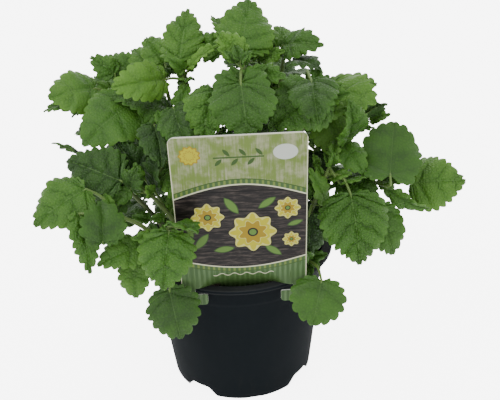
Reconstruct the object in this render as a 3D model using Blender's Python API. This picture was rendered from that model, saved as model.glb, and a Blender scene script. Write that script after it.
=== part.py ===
"""Lemon balm grown in a 12 cm nursery pot, with its clip-on plant label.

The pot, the plug of soil, the label and each leafy stem are separate solids.
Lengths in the tables and functions are millimetres; put_mesh() turns them to metres.
+Z is up, -Y is the side with the label, and the origin is the middle of the pot's foot.
"""

import math
import random
from collections import namedtuple

import bmesh
import bpy
from mathutils import Matrix, Vector
from mathutils.bvhtree import BVHTree

MM = 0.001
GAP = 0.3
SEED = 12

# Pot: a thin black shell with a turned-out lip, a stacking step and a channelled foot.
POT_HEIGHT = 90.0
LIP_RADIUS = 60.0
LIP_DEPTH = 2.6
MOUTH_RADIUS = 54.2
FOOT_RADIUS = 45.4
WALL = 1.4
STEP_HEIGHT = 75.0
STEP_DEPTH = 0.6
BULGE = 0.9
POT_SIDES = 36
PAD_RADIUS = 10.0
FOOT_RING = 5.0
FLOOR_LIFT = 0.6
CHANNEL_TURN = math.radians(-37)
SMALL_CHANNEL_TURN = math.radians(-82)
CHANNELS = 4
CHANNEL = dict(width=24.0, slope=6.0, height=6.4, start=20.0)
SMALL_CHANNEL = dict(width=11.0, slope=3.0, height=1.6, start=44.6)
HOOD_END = 0.4
BAR_EDGE = 0.8
DRAIN_RADIUS = 3.5
DRAIN_PLACE = 26.0

# Soil: one plug, slightly heaped, with a plain hole for each stem.
SOIL_TOP = 80.0
SOIL_HEAP = 2.0
SOIL_SIDES = 24
HOLE_DEPTH = 11.0

# Label: a stiff plastic tag. Its tongue stands in the soil, and its two side tabs run down
# outside the lip and hook under it.
LABEL_WIDTH = 71.0
LABEL_HEIGHT = 112.0
LABEL_THICKNESS = 0.8
LABEL_LEAN = math.radians(8.5)
LABEL_FOOT = Vector((2.8, -53.9, 78.4))
LABEL_CORNER = 4.0
TONGUE_HALF = 14.0
TONGUE_DEPTH = 8.5
TAB_INSIDE = 28.0
HOOK_INSIDE = 21.0
HOOK_TOP = 8.0
HOOK_CORNER = 2.2
SHOULDER = 12.2
BEND_TOP = 32.5
BEND_DEPTH = 12.8

# Stems and leaves.
STEM_FOOT = 1.7
STEM_TIP = 0.9
STEM_STATIONS = 5
PETIOLE_HALF = 0.75
PETIOLE_RINGS = 3
PETIOLE_LONG = 24
BLADE = 0.7
LIGHT = Vector((0.0, -0.70, 0.71))
CLEARANCE = 0.45
TEETH = ((17, 3), (34, 4), (99, 5))
HIDDEN_TEETH = 4
HEART = 0.055
WIDEST = 0.3
NOTCH = 0.85
CUP = 0.30
RIPPLE = 0.05
RIPPLE_TURNS = 9

POT_BLACK = (0.012, 0.014, 0.016, 1)
SOIL_BROWN = (0.030, 0.019, 0.012, 1)
LABEL_GREEN = (0.42, 0.47, 0.22, 1)
POT_ROUGHNESS = 0.4
SOIL_ROUGHNESS = 0.95
LABEL_ROUGHNESS = 0.35
LEAF_ROUGHNESS = 0.5
LEAF_GREENS = ((0.075, 0.19, 0.028, 1), (0.045, 0.13, 0.022, 1), (0.11, 0.24, 0.04, 1))

Leaf = namedtuple("Leaf", "at base tip wide roll arch fold twist heart teeth")
Shoot = namedtuple("Shoot", "name path leaves pairs size")


def leaf(at, base, tip, wide=0.84, roll=0, arch=0.08, fold=10, twist=0, heart=HEART):
    """One leaf: where on its stem it grows (0 foot, 1 tip), and where its blade starts and ends."""
    base, tip = Vector(base), Vector(tip)
    return Leaf(at, base, tip, wide, roll, arch, fold, twist, heart, teeth_of((tip - base).length))


def teeth_of(length):
    """A longer blade has more teeth a side."""
    return next(teeth for longest, teeth in TEETH if length < longest)


# Each shoot: its name, the points that its stem runs through from the soil up, the leaves
# whose places are known, and where along the stem further pairs grow by the rule of the plant.
SHOOTS = (
    Shoot("shoot_front_centre", ((-2, -22, 80), (0, -28, 140), (5, -32, 185), (7, -30, 212)), (
        leaf(0.97, (6, -40, 206), (8, -59, 182), wide=1.18, arch=0.12, fold=6, heart=0.26),
        leaf(0.90, (-8, -34, 202), (-15, -53, 179), wide=0.95, roll=10, arch=0.12),
        leaf(0.97, (8, -22, 215), (-6, -14, 227), wide=0.80, roll=-20, fold=14),
        leaf(0.90, (16, -28, 207), (30, -36, 207), wide=0.8, roll=20, fold=14),
    ), (0.62,), 30),
    Shoot("shoot_top_centre", ((4, 4, 80), (8, 2, 150), (9, 0, 196), (9, -2, 210)), (
        leaf(0.97, (8, -8, 213), (13, 20, 237), wide=0.92, arch=0.05, fold=5),
        leaf(0.97, (4, 2, 214), (-8, 22, 229), wide=0.6, roll=25, fold=20),
        leaf(0.88, (17, 2, 205), (32, -3, 212), wide=0.8, roll=10, fold=12),
        leaf(0.88, (-4, 6, 209), (-21, 19, 218), wide=0.8, roll=-8, fold=12),
    ), (0.62,), 32),
    Shoot("shoot_top_right", ((16, 4, 80), (25, 4, 150), (31, 8, 196), (33, 8, 210)), (
        leaf(0.97, (32, 8, 212), (53, -8, 216), wide=0.80, roll=5, arch=0.10),
        leaf(0.90, (36, 2, 206), (51, -15, 205), wide=0.85, roll=-25, arch=0.12, fold=16),
        leaf(0.97, (31, 12, 210), (33, 28, 219), wide=0.95, roll=12),
    ), (), 30),
    Shoot("shoot_front_right", ((14, -20, 80), (30, -20, 140), (44, -14, 178), (48, -16, 190)), (
        leaf(0.98, (50, -20, 191), (20, -42, 181), wide=0.95, roll=-10, arch=0.12, fold=16),
        leaf(0.98, (46, -22, 193), (47, -47, 177), wide=0.95, roll=8, arch=0.14, fold=16),
        leaf(0.98, (50, -10, 196), (62, -14, 183), wide=0.8, roll=30, arch=0.15),
        leaf(0.86, (36, -20, 183), (29, -30, 196), wide=0.8, roll=-20, arch=0.15),
        leaf(0.52, (48, -8, 152), (43, -24, 128), wide=1.0, roll=0, arch=0.1),
    ), (0.60,), 32),
    Shoot("shoot_right", ((24, -4, 80), (42, -6, 130), (56, -2, 166), (61, 0, 176)), (
        leaf(0.98, (56, 2, 186), (82, -18, 185), wide=0.98, roll=0, arch=0.08, fold=5),
        leaf(0.98, (68, 8, 187), (88, 9, 186), wide=0.7, roll=15, arch=0.12),
        leaf(0.90, (66, -16, 163), (52, -22, 183), wide=0.85, roll=30, arch=0.1, fold=30),
        leaf(0.86, (63, -18, 160), (74, -34, 148), wide=0.8, roll=0, arch=0.15),
        leaf(0.76, (53, -4, 174), (66, -13, 152), wide=1.0, roll=5, arch=0.1),
    ), (0.60,), 32),
    Shoot("shoot_low_right", ((26, -22, 80), (40, -27, 112), (50, -28, 138), (55, -27, 150)), (
        leaf(0.90, (65, -42, 139), (68, -61, 104), wide=1.02, roll=0, arch=0.10, fold=8),
        leaf(0.98, (57, -33, 148), (79, -18, 159), wide=0.75, roll=-48, arch=0.05, fold=30),
        leaf(0.84, (62, -18, 140), (84, -16, 134), wide=0.95, roll=-12, arch=0.1),
        leaf(0.60, (42, -36, 124), (39, -46, 100), wide=0.9, roll=-30, arch=0.1),
        leaf(0.72, (52, -32, 130), (43, -34, 152), wide=0.55, roll=20, arch=0.06, fold=20),
    ), (), 30),
    Shoot("shoot_far_right", ((30, -12, 80), (54, -16, 108), (76, -18, 130), (86, -20, 136)), (
        leaf(0.96, (106, -12, 130), (138, -17, 132), wide=1.12, roll=0, arch=0.05, fold=4),
        leaf(0.92, (88, -32, 141), (95, -4, 163), wide=0.98, roll=0, arch=-0.04, fold=5),
        leaf(0.98, (89, -24, 133), (114, -30, 121), wide=0.5, roll=70, arch=0.1, fold=26),
        leaf(0.72, (82, -30, 124), (91, -42, 98), wide=0.9, roll=0, arch=0.1),
        leaf(0.42, (58, -16, 124), (46, -28, 103), wide=1.0, roll=0, arch=0.1),
    ), (), 30),
    Shoot("shoot_rim_right", ((28, -32, 80), (34, -38, 92), (39, -42, 99)), (
        leaf(0.97, (47, -53, 90), (40.5, -66, 69), wide=1.24, roll=0, arch=0.10, fold=8),
        leaf(0.90, (45, -34, 108), (60, -40, 122), wide=0.9, roll=30, arch=0.1),
    ), (), 26),
    Shoot("shoot_upper_left", ((-10, -4, 80), (-18, -2, 140), (-24, 0, 180), (-26, 2, 200)), (
        leaf(0.98, (-28, 2, 205), (-22, 28, 230), wide=0.72, roll=0, arch=0.04, fold=6),
        leaf(0.94, (-37, -2, 198), (-65, -18, 200), wide=0.72, roll=-25, arch=0.14, fold=14),
        leaf(0.94, (-22, -4, 205), (-5, -6, 218), wide=0.55, roll=-25, arch=0.05, fold=34),
        leaf(0.84, (-24, -8, 196), (-31, -15, 177), wide=0.6, roll=30, arch=0.06, fold=24),
    ), (0.60,), 32),
    Shoot("shoot_high_left", ((-20, 10, 80), (-30, 12, 140), (-36, 12, 180), (-39, 12, 195)), (
        leaf(0.98, (-40, 8, 198), (-57, 26, 210), wide=0.90, roll=0, arch=0.05, fold=8),
        leaf(0.98, (-36, 10, 203), (-48, 28, 214), wide=0.80, roll=-15, arch=0.08, fold=20),
        leaf(0.90, (-55, 16, 197), (-76, 30, 203), wide=0.75, roll=-20, arch=0.14),
    ), (), 30),
    Shoot("shoot_left_back", ((-26, 14, 80), (-48, 20, 136), (-62, 20, 170), (-68, 18, 184)), (
        leaf(0.98, (-80, 16, 189), (-106, 5, 188), wide=1.06, roll=0, arch=0.08, fold=6),
        leaf(0.98, (-68, 22, 194), (-82, 26, 204), wide=0.85, roll=-10, arch=0.14),
        leaf(0.84, (-86, 11, 180), (-111, 9, 179), wide=0.7, roll=30, arch=0.1, fold=20),
    ), (0.60,), 30),
    Shoot("shoot_left", ((-22, -4, 80), (-36, -6, 128), (-46, -4, 162), (-50, -2, 176)), (
        leaf(0.98, (-53, 3, 185), (-84, -24, 170), wide=0.92, roll=0, arch=0.08, fold=8),
        leaf(0.84, (-60, -12, 158), (-44, -20, 176), wide=0.9, roll=15, arch=0.1, fold=16),
        leaf(0.74, (-64, -14, 152), (-86, -22, 150), wide=0.7, roll=10, arch=0.1),
        leaf(0.50, (-44, -2, 143), (-56, 4, 165), wide=0.95, roll=0, arch=0.08),
    ), (0.55,), 30),
    Shoot("shoot_inner_left", ((-14, -16, 80), (-24, -24, 126), (-32, -28, 160), (-35, -28, 176)), (
        leaf(0.98, (-31, -30, 191), (-23, -50, 174), wide=0.9, roll=15, arch=0.12),
        leaf(0.98, (-44, -26, 178), (-40, -44, 160), wide=0.9, roll=-20, arch=0.12, fold=14),
        leaf(0.80, (-44, -36, 146), (-41, -42, 170), wide=0.75, roll=-40, arch=0.08, fold=24),
        leaf(0.62, (-36, -33, 156), (-33, -46, 135), wide=0.85, roll=-15, arch=0.1, fold=14),
    ), (0.52,), 28),
    Shoot("shoot_mid_left", ((-18, -26, 80), (-30, -36, 114), (-45, -38, 140), (-58, -38, 151)), (
        leaf(0.98, (-62, -40, 153), (-95, -24, 161), wide=0.86, roll=-12, arch=0.06, fold=8),
        leaf(0.90, (-62, -34, 142), (-80, -42, 134), wide=0.85, roll=0, arch=0.1),
        leaf(0.80, (-56, -40, 150), (-50, -50, 166), wide=0.75, roll=20, arch=0.1),
        leaf(0.62, (-52, -28, 150), (-65, -22, 169), wide=0.95, roll=-10, arch=0.08),
    ), (), 28),
    Shoot("shoot_low_left", ((-24, -30, 80), (-36, -42, 108), (-52, -48, 128), (-66, -49, 137)), (
        leaf(0.98, (-81, -46, 152), (-109, -58, 137), wide=0.98, roll=8, arch=0.08, fold=10),
        leaf(0.98, (-85, -57, 143), (-81, -69, 112), wide=0.5, roll=-20, arch=0.08, fold=16),
        leaf(0.90, (-74, -62, 127), (-74, -52, 147), wide=1.2, roll=20, arch=0.08, fold=24),
        leaf(0.60, (-53, -58, 122), (-76, -69, 117), wide=0.80, roll=0, arch=0.10),
        leaf(0.50, (-58, -58, 112), (-58, -65, 92), wide=0.88, roll=0, arch=0.08),
    ), (), 28),
    Shoot("shoot_rim_left", ((-20, -36, 80), (-31, -48, 98), (-37, -56, 116), (-38, -60, 126)), (
        leaf(0.98, (-36, -66, 134), (-41, -79, 105), wide=0.98, roll=0, arch=0.10, fold=10),
        leaf(0.98, (-33, -66, 137), (-14, -76, 143), wide=0.8, roll=-45, arch=0.05, fold=30),
        leaf(0.40, (-40, -54, 91), (-35, -65, 65), wide=1.06, roll=0, arch=0.10, fold=8),
    ), (), 26),
    Shoot("shoot_middle", ((-8, 12, 80), (-10, 14, 120), (-11, 16, 148), (-12, 17, 160)),
          (), (0.56, 0.76, 0.96), 34),
    Shoot("shoot_middle_right", ((12, 14, 80), (18, 20, 130), (22, 24, 166), (23, 25, 178)),
          (), (0.58, 0.77, 0.96), 34),
    Shoot("shoot_back_left", ((-24, 26, 80), (-46, 42, 124), (-66, 54, 150), (-76, 60, 160)),
          (), (0.42, 0.62, 0.80, 0.97), 36),
    Shoot("shoot_back", ((0, 30, 80), (8, 46, 136), (14, 56, 172), (17, 60, 186)),
          (), (0.42, 0.62, 0.80, 0.97), 36),
    Shoot("shoot_back_right", ((18, 26, 80), (30, 40, 122), (39, 52, 148), (43, 58, 158)),
          (), (0.42, 0.62, 0.80, 0.97), 36),
    Shoot("shoot_side_right", ((30, 12, 80), (54, 22, 120), (72, 30, 146), (82, 34, 154)),
          (), (0.38, 0.56, 0.78, 0.97), 34),
    Shoot("shoot_side_left", ((-34, 6, 80), (-58, 12, 112), (-78, 18, 132), (-88, 20, 138)),
          (), (0.38, 0.56, 0.78, 0.97), 33),
    Shoot("shoot_low_back", ((4, 40, 80), (8, 62, 104), (12, 80, 118), (14, 88, 122)),
          (), (0.66, 0.95), 32),
)


# ---------------------------------------------------------------- small helpers


def put_mesh(name, points, faces, colour, roughness, smooth_angle=None):
    """Makes an object from millimetre points, with its faces pointing outwards."""
    mesh = bpy.data.meshes.new(name)
    mesh.from_pydata([tuple(Vector(p) * MM) for p in points], [], faces)
    shape = bmesh.new()
    shape.from_mesh(mesh)
    bmesh.ops.recalc_face_normals(shape, faces=shape.faces)
    shape.to_mesh(mesh)
    shape.free()
    obj = bpy.data.objects.new(name, mesh)
    bpy.context.scene.collection.objects.link(obj)
    obj.data.materials.append(plain_material(name, colour, roughness))
    if smooth_angle is not None:
        mesh.shade_smooth()
        mesh.set_sharp_from_angle(angle=smooth_angle)
    return obj


def plain_material(name, colour, roughness):
    material = bpy.data.materials.new(name)
    material.use_nodes = True
    surface = material.node_tree.nodes["Principled BSDF"]
    surface.inputs["Base Color"].default_value = colour
    surface.inputs["Roughness"].default_value = roughness
    return material


def settle_modifiers(obj):
    """Turns the object's modifiers into plain mesh."""
    view = bpy.context.evaluated_depsgraph_get()
    result = bpy.data.meshes.new_from_object(obj.evaluated_get(view))
    obj.modifiers.clear()
    obj.data = result


def is_closed(mesh):
    shape = bmesh.new()
    shape.from_mesh(mesh)
    closed = all(edge.is_manifold for edge in shape.edges)
    shape.free()
    return closed


def combine(obj, others, operation):
    """One Boolean of the object with a collection of others, which are then removed."""
    group = bpy.data.collections.new(obj.name + "_parts")
    bpy.context.scene.collection.children.link(group)
    for other in others:
        bpy.context.scene.collection.objects.unlink(other)
        group.objects.link(other)
    plain = obj.data
    for solver in ("EXACT", "MANIFOLD"):
        obj.data = plain
        join = obj.modifiers.new("join", "BOOLEAN")
        join.operation = operation
        join.solver = solver
        join.operand_type = "COLLECTION"
        join.collection = group
        settle_modifiers(obj)
        if is_closed(obj.data):
            break
    for other in others:
        bpy.data.objects.remove(other)
    bpy.data.collections.remove(group)


def revolve(profile, sides):
    """Points and faces of a profile of (radius, height) turned about Z; zero radius closes it."""
    points, rows, faces = [], [], []
    for radius, height in profile:
        if radius == 0:
            rows.append([len(points)] * sides)
            points.append((0, 0, height))
            continue
        rows.append(range(len(points), len(points) + sides))
        for i in range(sides):
            turn = math.tau * i / sides
            points.append((radius * math.cos(turn), radius * math.sin(turn), height))
    for low, high in zip(rows, rows[1:]):
        for i in range(sides):
            j = (i + 1) % sides
            corners = [low[i], low[j], high[j], high[i]]
            faces.append(tuple(dict.fromkeys(corners)))
    return points, faces


def smooth_path(points, stations):
    """Evenly numbered points of a smooth curve through the given ones."""
    points = [Vector(p) for p in points]
    ends = [2 * points[0] - points[1]] + points + [2 * points[-1] - points[-2]]
    path = []
    for i in range(stations):
        along = i / (stations - 1) * (len(points) - 1)
        k = min(int(along), len(points) - 2)
        u = along - k
        a, b, c, d = ends[k:k + 4]
        path.append(0.5 * (2 * b + (c - a) * u + (2 * a - 5 * b + 4 * c - d) * u ** 2
                           + (3 * b - a - 3 * c + d) * u ** 3))
    return path


def point_on(path, share):
    """The place and the direction of a path at a share of its length."""
    along = share * (len(path) - 1)
    k = min(int(along), len(path) - 2)
    place = path[k].lerp(path[k + 1], along - k)
    return place, (path[k + 1] - path[k]).normalized()


def meets(points, faces, barriers):
    """Whether a solid's surface cuts one of the barriers."""
    tree = BVHTree.FromPolygons(points, faces)
    return any(tree.overlap(barrier) for barrier in barriers)


# ---------------------------------------------------------------- pot


def wall_radius(height):
    """The pot wall's outer radius at a height, below the stacking step or above it."""
    share = height / (POT_HEIGHT - LIP_DEPTH)
    step = 0 if height > STEP_HEIGHT else STEP_DEPTH
    taper = FOOT_RADIUS + STEP_DEPTH + (MOUTH_RADIUS - FOOT_RADIUS - STEP_DEPTH) * share
    return taper + BULGE * math.sin(math.pi * share) - step


def radial_bar(turn, stations, low, start, reach):
    """Points and faces of a bar that runs out from the middle, as (aside, top) across it."""
    points, faces = [], []
    for aside, top in stations:
        end = math.sqrt(reach ** 2 - aside ** 2)
        points += [(start, aside, low), (start, aside, top), (end, aside, top), (end, aside, low)]
    for k in range(0, len(points) - 4, 4):
        for i in range(4):
            j = (i + 1) % 4
            faces.append((k + i, k + j, k + j + 4, k + i + 4))
    last = len(points) - 4
    faces += [(3, 2, 1, 0), (last, last + 1, last + 2, last + 3)]
    turned = Matrix.Rotation(turn - math.pi / 2, 3, "Z")
    return [turned @ Vector(p) for p in points], faces


def channel_bars(name, grow, first_turn, width, slope, height, start):
    """Bars under the floor: grown, they are the channels' hoods; plain, they cut the channels."""
    low = FLOOR_LIFT if grow > 0 else -1
    reach = FOOT_RADIUS - HOOD_END if grow > 0 else FOOT_RADIUS + 10
    half = width / 2 + grow
    crown = [((half - slope) * share, height + grow) for share in (-1, -0.5, 0, 0.5, 1)]
    stations = [(-half, low + BAR_EDGE), *crown, (half, low + BAR_EDGE)]
    bars = []
    for i in range(CHANNELS):
        points, faces = radial_bar(first_turn + math.tau * i / CHANNELS, stations, low, start - grow, reach)
        bars.append(put_mesh(name, points, faces, POT_BLACK, POT_ROUGHNESS))
    return bars


def drain_cutters():
    cutters = []
    for i in range(CHANNELS):
        points, faces = revolve(((0, 3), (DRAIN_RADIUS, 3), (DRAIN_RADIUS, 12), (0, 12)), 8)
        turn = CHANNEL_TURN - math.pi / 2 + math.tau * i / CHANNELS
        middle = Vector((math.cos(turn), math.sin(turn), 0)) * DRAIN_PLACE
        points = [Vector(p) + middle for p in points]
        cutters.append(put_mesh("drain", points, faces, POT_BLACK, POT_ROUGHNESS))
    return cutters


def make_pot():
    under_lip = POT_HEIGHT - LIP_DEPTH
    profile = (
        (0, 0), (PAD_RADIUS, 0), (PAD_RADIUS + 1, FLOOR_LIFT),
        (FOOT_RADIUS - FOOT_RING, FLOOR_LIFT), (FOOT_RADIUS - FOOT_RING + 1, 0), (FOOT_RADIUS, 0),
        (wall_radius(40), 40), (wall_radius(STEP_HEIGHT), STEP_HEIGHT),
        (wall_radius(STEP_HEIGHT + 0.1), STEP_HEIGHT + STEP_DEPTH), (wall_radius(under_lip), under_lip),
        (LIP_RADIUS, under_lip), (LIP_RADIUS, POT_HEIGHT - 0.6), (LIP_RADIUS - 0.6, POT_HEIGHT),
        (MOUTH_RADIUS, POT_HEIGHT), (wall_radius(84) - WALL, 84), (wall_radius(40) - WALL, 40),
        (FOOT_RADIUS - WALL, WALL), (0, WALL),
    )
    points, faces = revolve(profile, POT_SIDES)
    pot = put_mesh("pot", points, faces, POT_BLACK, POT_ROUGHNESS, math.radians(30))
    combine(pot, channel_bars("hood", WALL, CHANNEL_TURN, **CHANNEL), "UNION")
    cutters = channel_bars("channel", 0, CHANNEL_TURN, **CHANNEL)
    cutters += channel_bars("nick", 0, SMALL_CHANNEL_TURN, **SMALL_CHANNEL)
    combine(pot, cutters + drain_cutters(), "DIFFERENCE")
    return pot


# ---------------------------------------------------------------- label


def label_point(x, v, lift=0.0):
    """A point of the label: x across it, v up it from the tabs' lower edge, lift off its face."""
    fade = 1 - min(max((abs(x) - TONGUE_HALF) / (TAB_INSIDE - TONGUE_HALF), 0), 1)
    fade = fade * fade * (3 - 2 * fade)
    if v < SHOULDER and abs(x) > TONGUE_HALF + 1:
        fade = 0
    above = max(BEND_TOP - max(v, SHOULDER), 0)
    bend = BEND_DEPTH * (above / BEND_TOP) ** 2
    if v < SHOULDER:
        bend += (SHOULDER - v) * 2 * BEND_DEPTH * (BEND_TOP - SHOULDER) / BEND_TOP ** 2
    back = bend * fade
    return LABEL_FOOT + Vector((x, back - v * math.sin(LABEL_LEAN) - lift, v * math.cos(LABEL_LEAN)))


def label_mesh(thickness, tongue_only=False):
    """The tag as two skins of one grid of cells, joined round the edge."""
    half = LABEL_WIDTH / 2
    across = (-half, -half + LABEL_CORNER, -TAB_INSIDE, -HOOK_INSIDE, -TONGUE_HALF, 0,
              TONGUE_HALF, HOOK_INSIDE, TAB_INSIDE, half - LABEL_CORNER, half)
    up = (-TONGUE_DEPTH, 0, HOOK_TOP, SHOULDER, 20, BEND_TOP, LABEL_HEIGHT - LABEL_CORNER, LABEL_HEIGHT)
    cells = []
    for i in range(len(across) - 1):
        middle = abs(across[i] + across[i + 1]) / 2
        for j in range(len(up) - 1):
            in_tongue = middle < TONGUE_HALF
            in_hook = middle > HOOK_INSIDE and up[j] == 0
            in_tab = in_hook or middle > TAB_INSIDE and up[j] > 0
            if in_tongue and not (tongue_only and up[j] >= SHOULDER):
                cells.append((i, j))
            elif not tongue_only and (in_tab or up[j] >= SHOULDER):
                cells.append((i, j))
    corner = LABEL_CORNER * (1 - math.sqrt(0.5))
    grow = (thickness - LABEL_THICKNESS) / 2 if tongue_only else 0
    points, index = [], {}

    def corner_of(i, j, side):
        key = (i, j, side)
        if key not in index:
            x, v = across[i], up[j]
            if abs(x) == half and v in (0, LABEL_HEIGHT):
                x -= math.copysign(corner, x)
                v += corner if v == 0 else -corner
            elif abs(x) == HOOK_INSIDE and v == 0:
                x += math.copysign(HOOK_CORNER / 2, x)
                v += HOOK_CORNER / 2
            elif abs(x) == TONGUE_HALF:
                x += math.copysign(grow, x)
            index[key] = len(points)
            points.append(label_point(x, v - (grow if j == 0 else 0), side * thickness / 2))
        return index[key]

    faces, edges = [], []
    for i, j in cells:
        ring = ((i, j), (i + 1, j), (i + 1, j + 1), (i, j + 1))
        for side in (1, -1):
            a, b, c, d = (corner_of(p, q, side) for p, q in ring)
            faces += [(a, b, c), (a, c, d)]
        for start, end in zip(ring, ring[1:] + ring[:1]):
            if (end, start) in edges:
                edges.remove((end, start))
            else:
                edges.append((start, end))
    for start, end in edges:
        a, b = corner_of(*start, 1), corner_of(*end, 1)
        c, d = corner_of(*end, -1), corner_of(*start, -1)
        faces += [(a, b, c), (a, c, d)]
    return points, faces


def make_label():
    points, faces = label_mesh(LABEL_THICKNESS)
    return put_mesh("label", points, faces, LABEL_GREEN, LABEL_ROUGHNESS)


# ---------------------------------------------------------------- soil


def make_soil():
    def inner(height):
        return wall_radius(height) - WALL - GAP - 0.3

    floor = CHANNEL["height"] + WALL + GAP
    profile = ((0, floor), (inner(floor), floor), (inner(40), 40), (inner(SOIL_TOP - 1), SOIL_TOP - 1),
               (inner(SOIL_TOP) * 0.55, SOIL_TOP), (0, SOIL_TOP + SOIL_HEAP))
    points, faces = revolve(profile, SOIL_SIDES)
    soil = put_mesh("soil", points, faces, SOIL_BROWN, SOIL_ROUGHNESS)
    slot_points, slot_faces = label_mesh(LABEL_THICKNESS + 2 * GAP, tongue_only=True)
    cutters = [put_mesh("room_for_tongue", slot_points, slot_faces, SOIL_BROWN, SOIL_ROUGHNESS)]
    for shoot in SHOOTS:
        foot = Vector(shoot.path[0])
        hole = [foot - Vector((0, 0, HOLE_DEPTH)), foot + Vector((0, 0, HOLE_DEPTH))]
        points, faces = tube(hole, [STEM_FOOT + 2 * GAP] * len(hole))
        cutters.append(put_mesh("stem_hole", points, faces, SOIL_BROWN, SOIL_ROUGHNESS))
    combine(soil, cutters, "DIFFERENCE")
    return soil


# ---------------------------------------------------------------- stems and leaves


def stem_path(shoot):
    """The stem's line: straight down into its hole, then through the shoot's points."""
    foot = Vector(shoot.path[0])
    path = smooth_path(shoot.path, STEM_STATIONS)
    return [foot - Vector((0, 0, HOLE_DEPTH - GAP))] + path


def tube(path, half_widths):
    """A four-sided tube along a path, closed at both ends."""
    points, faces = [], []
    side = Vector((1, 0, 0))
    for i, place in enumerate(path):
        ahead = path[min(i + 1, len(path) - 1)] - path[max(i - 1, 0)]
        ahead.normalize()
        side = (side - ahead * side.dot(ahead)).normalized()
        other = ahead.cross(side)
        for a, b in ((-1, -1), (1, -1), (1, 1), (-1, 1)):
            points.append(place + side * a * half_widths[i] + other * b * half_widths[i])
    for ring in range(len(path) - 1):
        for k in range(4):
            low, high = ring * 4 + k, ring * 4 + (k + 1) % 4
            faces.append((low, high, high + 4, low + 4))
    last = 4 * (len(path) - 1)
    faces += [(3, 2, 1, 0), (last, last + 1, last + 2, last + 3)]
    return points, faces


def stem_mesh(shoot):
    path = stem_path(shoot)
    widths = [STEM_FOOT + (STEM_TIP - STEM_FOOT) * i / (len(path) - 1) for i in range(len(path))]
    return tube(path, widths)


def half_breadth(t):
    """Share of the blade's half breadth at t along it: a heart-shaped foot and a blunt point."""
    if t < WIDEST:
        return math.sqrt(max(1 - ((t - WIDEST) / 0.37) ** 2, 0))
    return max(math.cos((t - WIDEST) / (1 - WIDEST) * math.pi / 2), 0) ** 0.8


def blade_edge(teeth, heart):
    """The cut edge of one half of a blade, from its foot to its point, as (t, share)."""
    edge = [(-heart, 0.26)]
    if heart > 0.1:
        edge.append((-heart * 0.7, 0.72))
    for k in range(teeth):
        crest = 0.10 + 0.80 * k / (teeth - 0.4)
        notch = crest + 0.42 / teeth
        edge.append((crest, half_breadth(crest)))
        edge.append((notch, half_breadth(notch) * NOTCH))
    return edge


def blade_frame(spec, swell=0.0):
    """The blade's length, and its directions along, across and out of its upper face."""
    along = spec.tip - spec.base
    length = along.length
    along.normalize()
    out = LIGHT - along * LIGHT.dot(along)
    out.normalize()
    out.rotate(Matrix.Rotation(math.radians(spec.roll), 3, along))
    return length + swell, along, out.cross(along), out


def blade_place(spec, frame, t, share, lift):
    """A point of the blade: t along it, share of its half breadth, lift off its middle skin."""
    length, along, across, out = frame
    half = length * spec.wide / 2
    fold = math.radians(spec.fold)
    turn = math.radians(spec.twist) * (t - WIDEST)
    side = across * math.cos(turn) + out * math.sin(turn)
    face = out * math.cos(turn) - across * math.sin(turn)
    reach = abs(share) * half
    rise = reach * math.sin(fold) - CUP * reach * reach / half
    wave = math.sin(RIPPLE_TURNS * t + math.copysign(2, share))
    rise += RIPPLE * length * wave * share * share
    rise += spec.arch * length * 4 * max(t, 0) * (1 - t)
    tilt = math.copysign(fold, share) if share else 0
    skin = face * math.cos(tilt) - side * math.sin(tilt)
    if share == 0:
        skin = face / math.cos(fold)
    place = spec.base + along * (t * length) + side * (share * half * math.cos(fold))
    return place + face * rise + skin * lift


def petiole_path(spec, frame, start, leaving, bow):
    """The leaf stalk's line from the blade's foot back into the stem."""
    length, along, across, out = frame
    rise = 4 * spec.arch
    arriving = (along + out * rise).normalized()
    reach = (spec.base - start).length * 0.42
    first = start + leaving * reach + bow
    last = spec.base - arriving * reach + bow
    path = []
    rings = PETIOLE_RINGS if (spec.base - start).length > PETIOLE_LONG else PETIOLE_RINGS - 1
    for i in range(rings + 1):
        u = 1 - i / rings
        path.append(start * (1 - u) ** 3 + first * 3 * u * (1 - u) ** 2
                    + last * 3 * u * u * (1 - u) + spec.base * u ** 3)
    return path


def blade_mesh(spec, thickness=BLADE, swell=0.0):
    """Both skins of a blade. The first four points are the stalk's end, ready to be carried on."""
    frame = blade_frame(spec, swell)
    half = frame[0] * spec.wide / 2
    foot = PETIOLE_HALF / half
    edge = blade_edge(spec.teeth, spec.heart)
    ribs = [0.22, 0.48, 0.74] if spec.teeth > HIDDEN_TEETH else [0.3, 0.65]
    outline = [(0, foot)] + edge + [(1, 0)] + [(t, -s) for t, s in reversed(edge)] + [(0, -foot)]
    flat = outline + [(t, 0) for t in ribs]
    points = []
    for side in (1, -1):
        points += [blade_place(spec, frame, t, s, side * thickness / 2) for t, s in flat]
    count, rim = len(flat), len(outline)
    peak = len(edge) + 1
    skin = [(rim - 1, 0, rim)]
    for chain in (list(range(0, peak + 1)), list(range(rim - 1, peak - 1, -1))):
        middle = list(range(rim, count)) + [peak]
        i = j = 0
        while i < len(chain) - 1 and j < len(middle) - 1:
            if flat[chain[i + 1]][0] <= flat[middle[j + 1]][0] and chain[i + 1] != peak:
                skin.append((chain[i], chain[i + 1], middle[j]))
                i += 1
            elif middle[j + 1] != peak:
                skin.append((chain[i], middle[j + 1], middle[j]))
                j += 1
            else:
                skin.append((chain[i], peak, middle[j]))
                i += 1
                if chain[i] == peak:
                    break
    faces = list(skin) + [tuple(k + count for k in face) for face in skin]
    for k in range(rim - 1):
        faces += [(k, k + 1, k + 1 + count), (k, k + 1 + count, k + count)]
    return points, faces, (0, rim - 1, rim - 1 + count, count)


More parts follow.
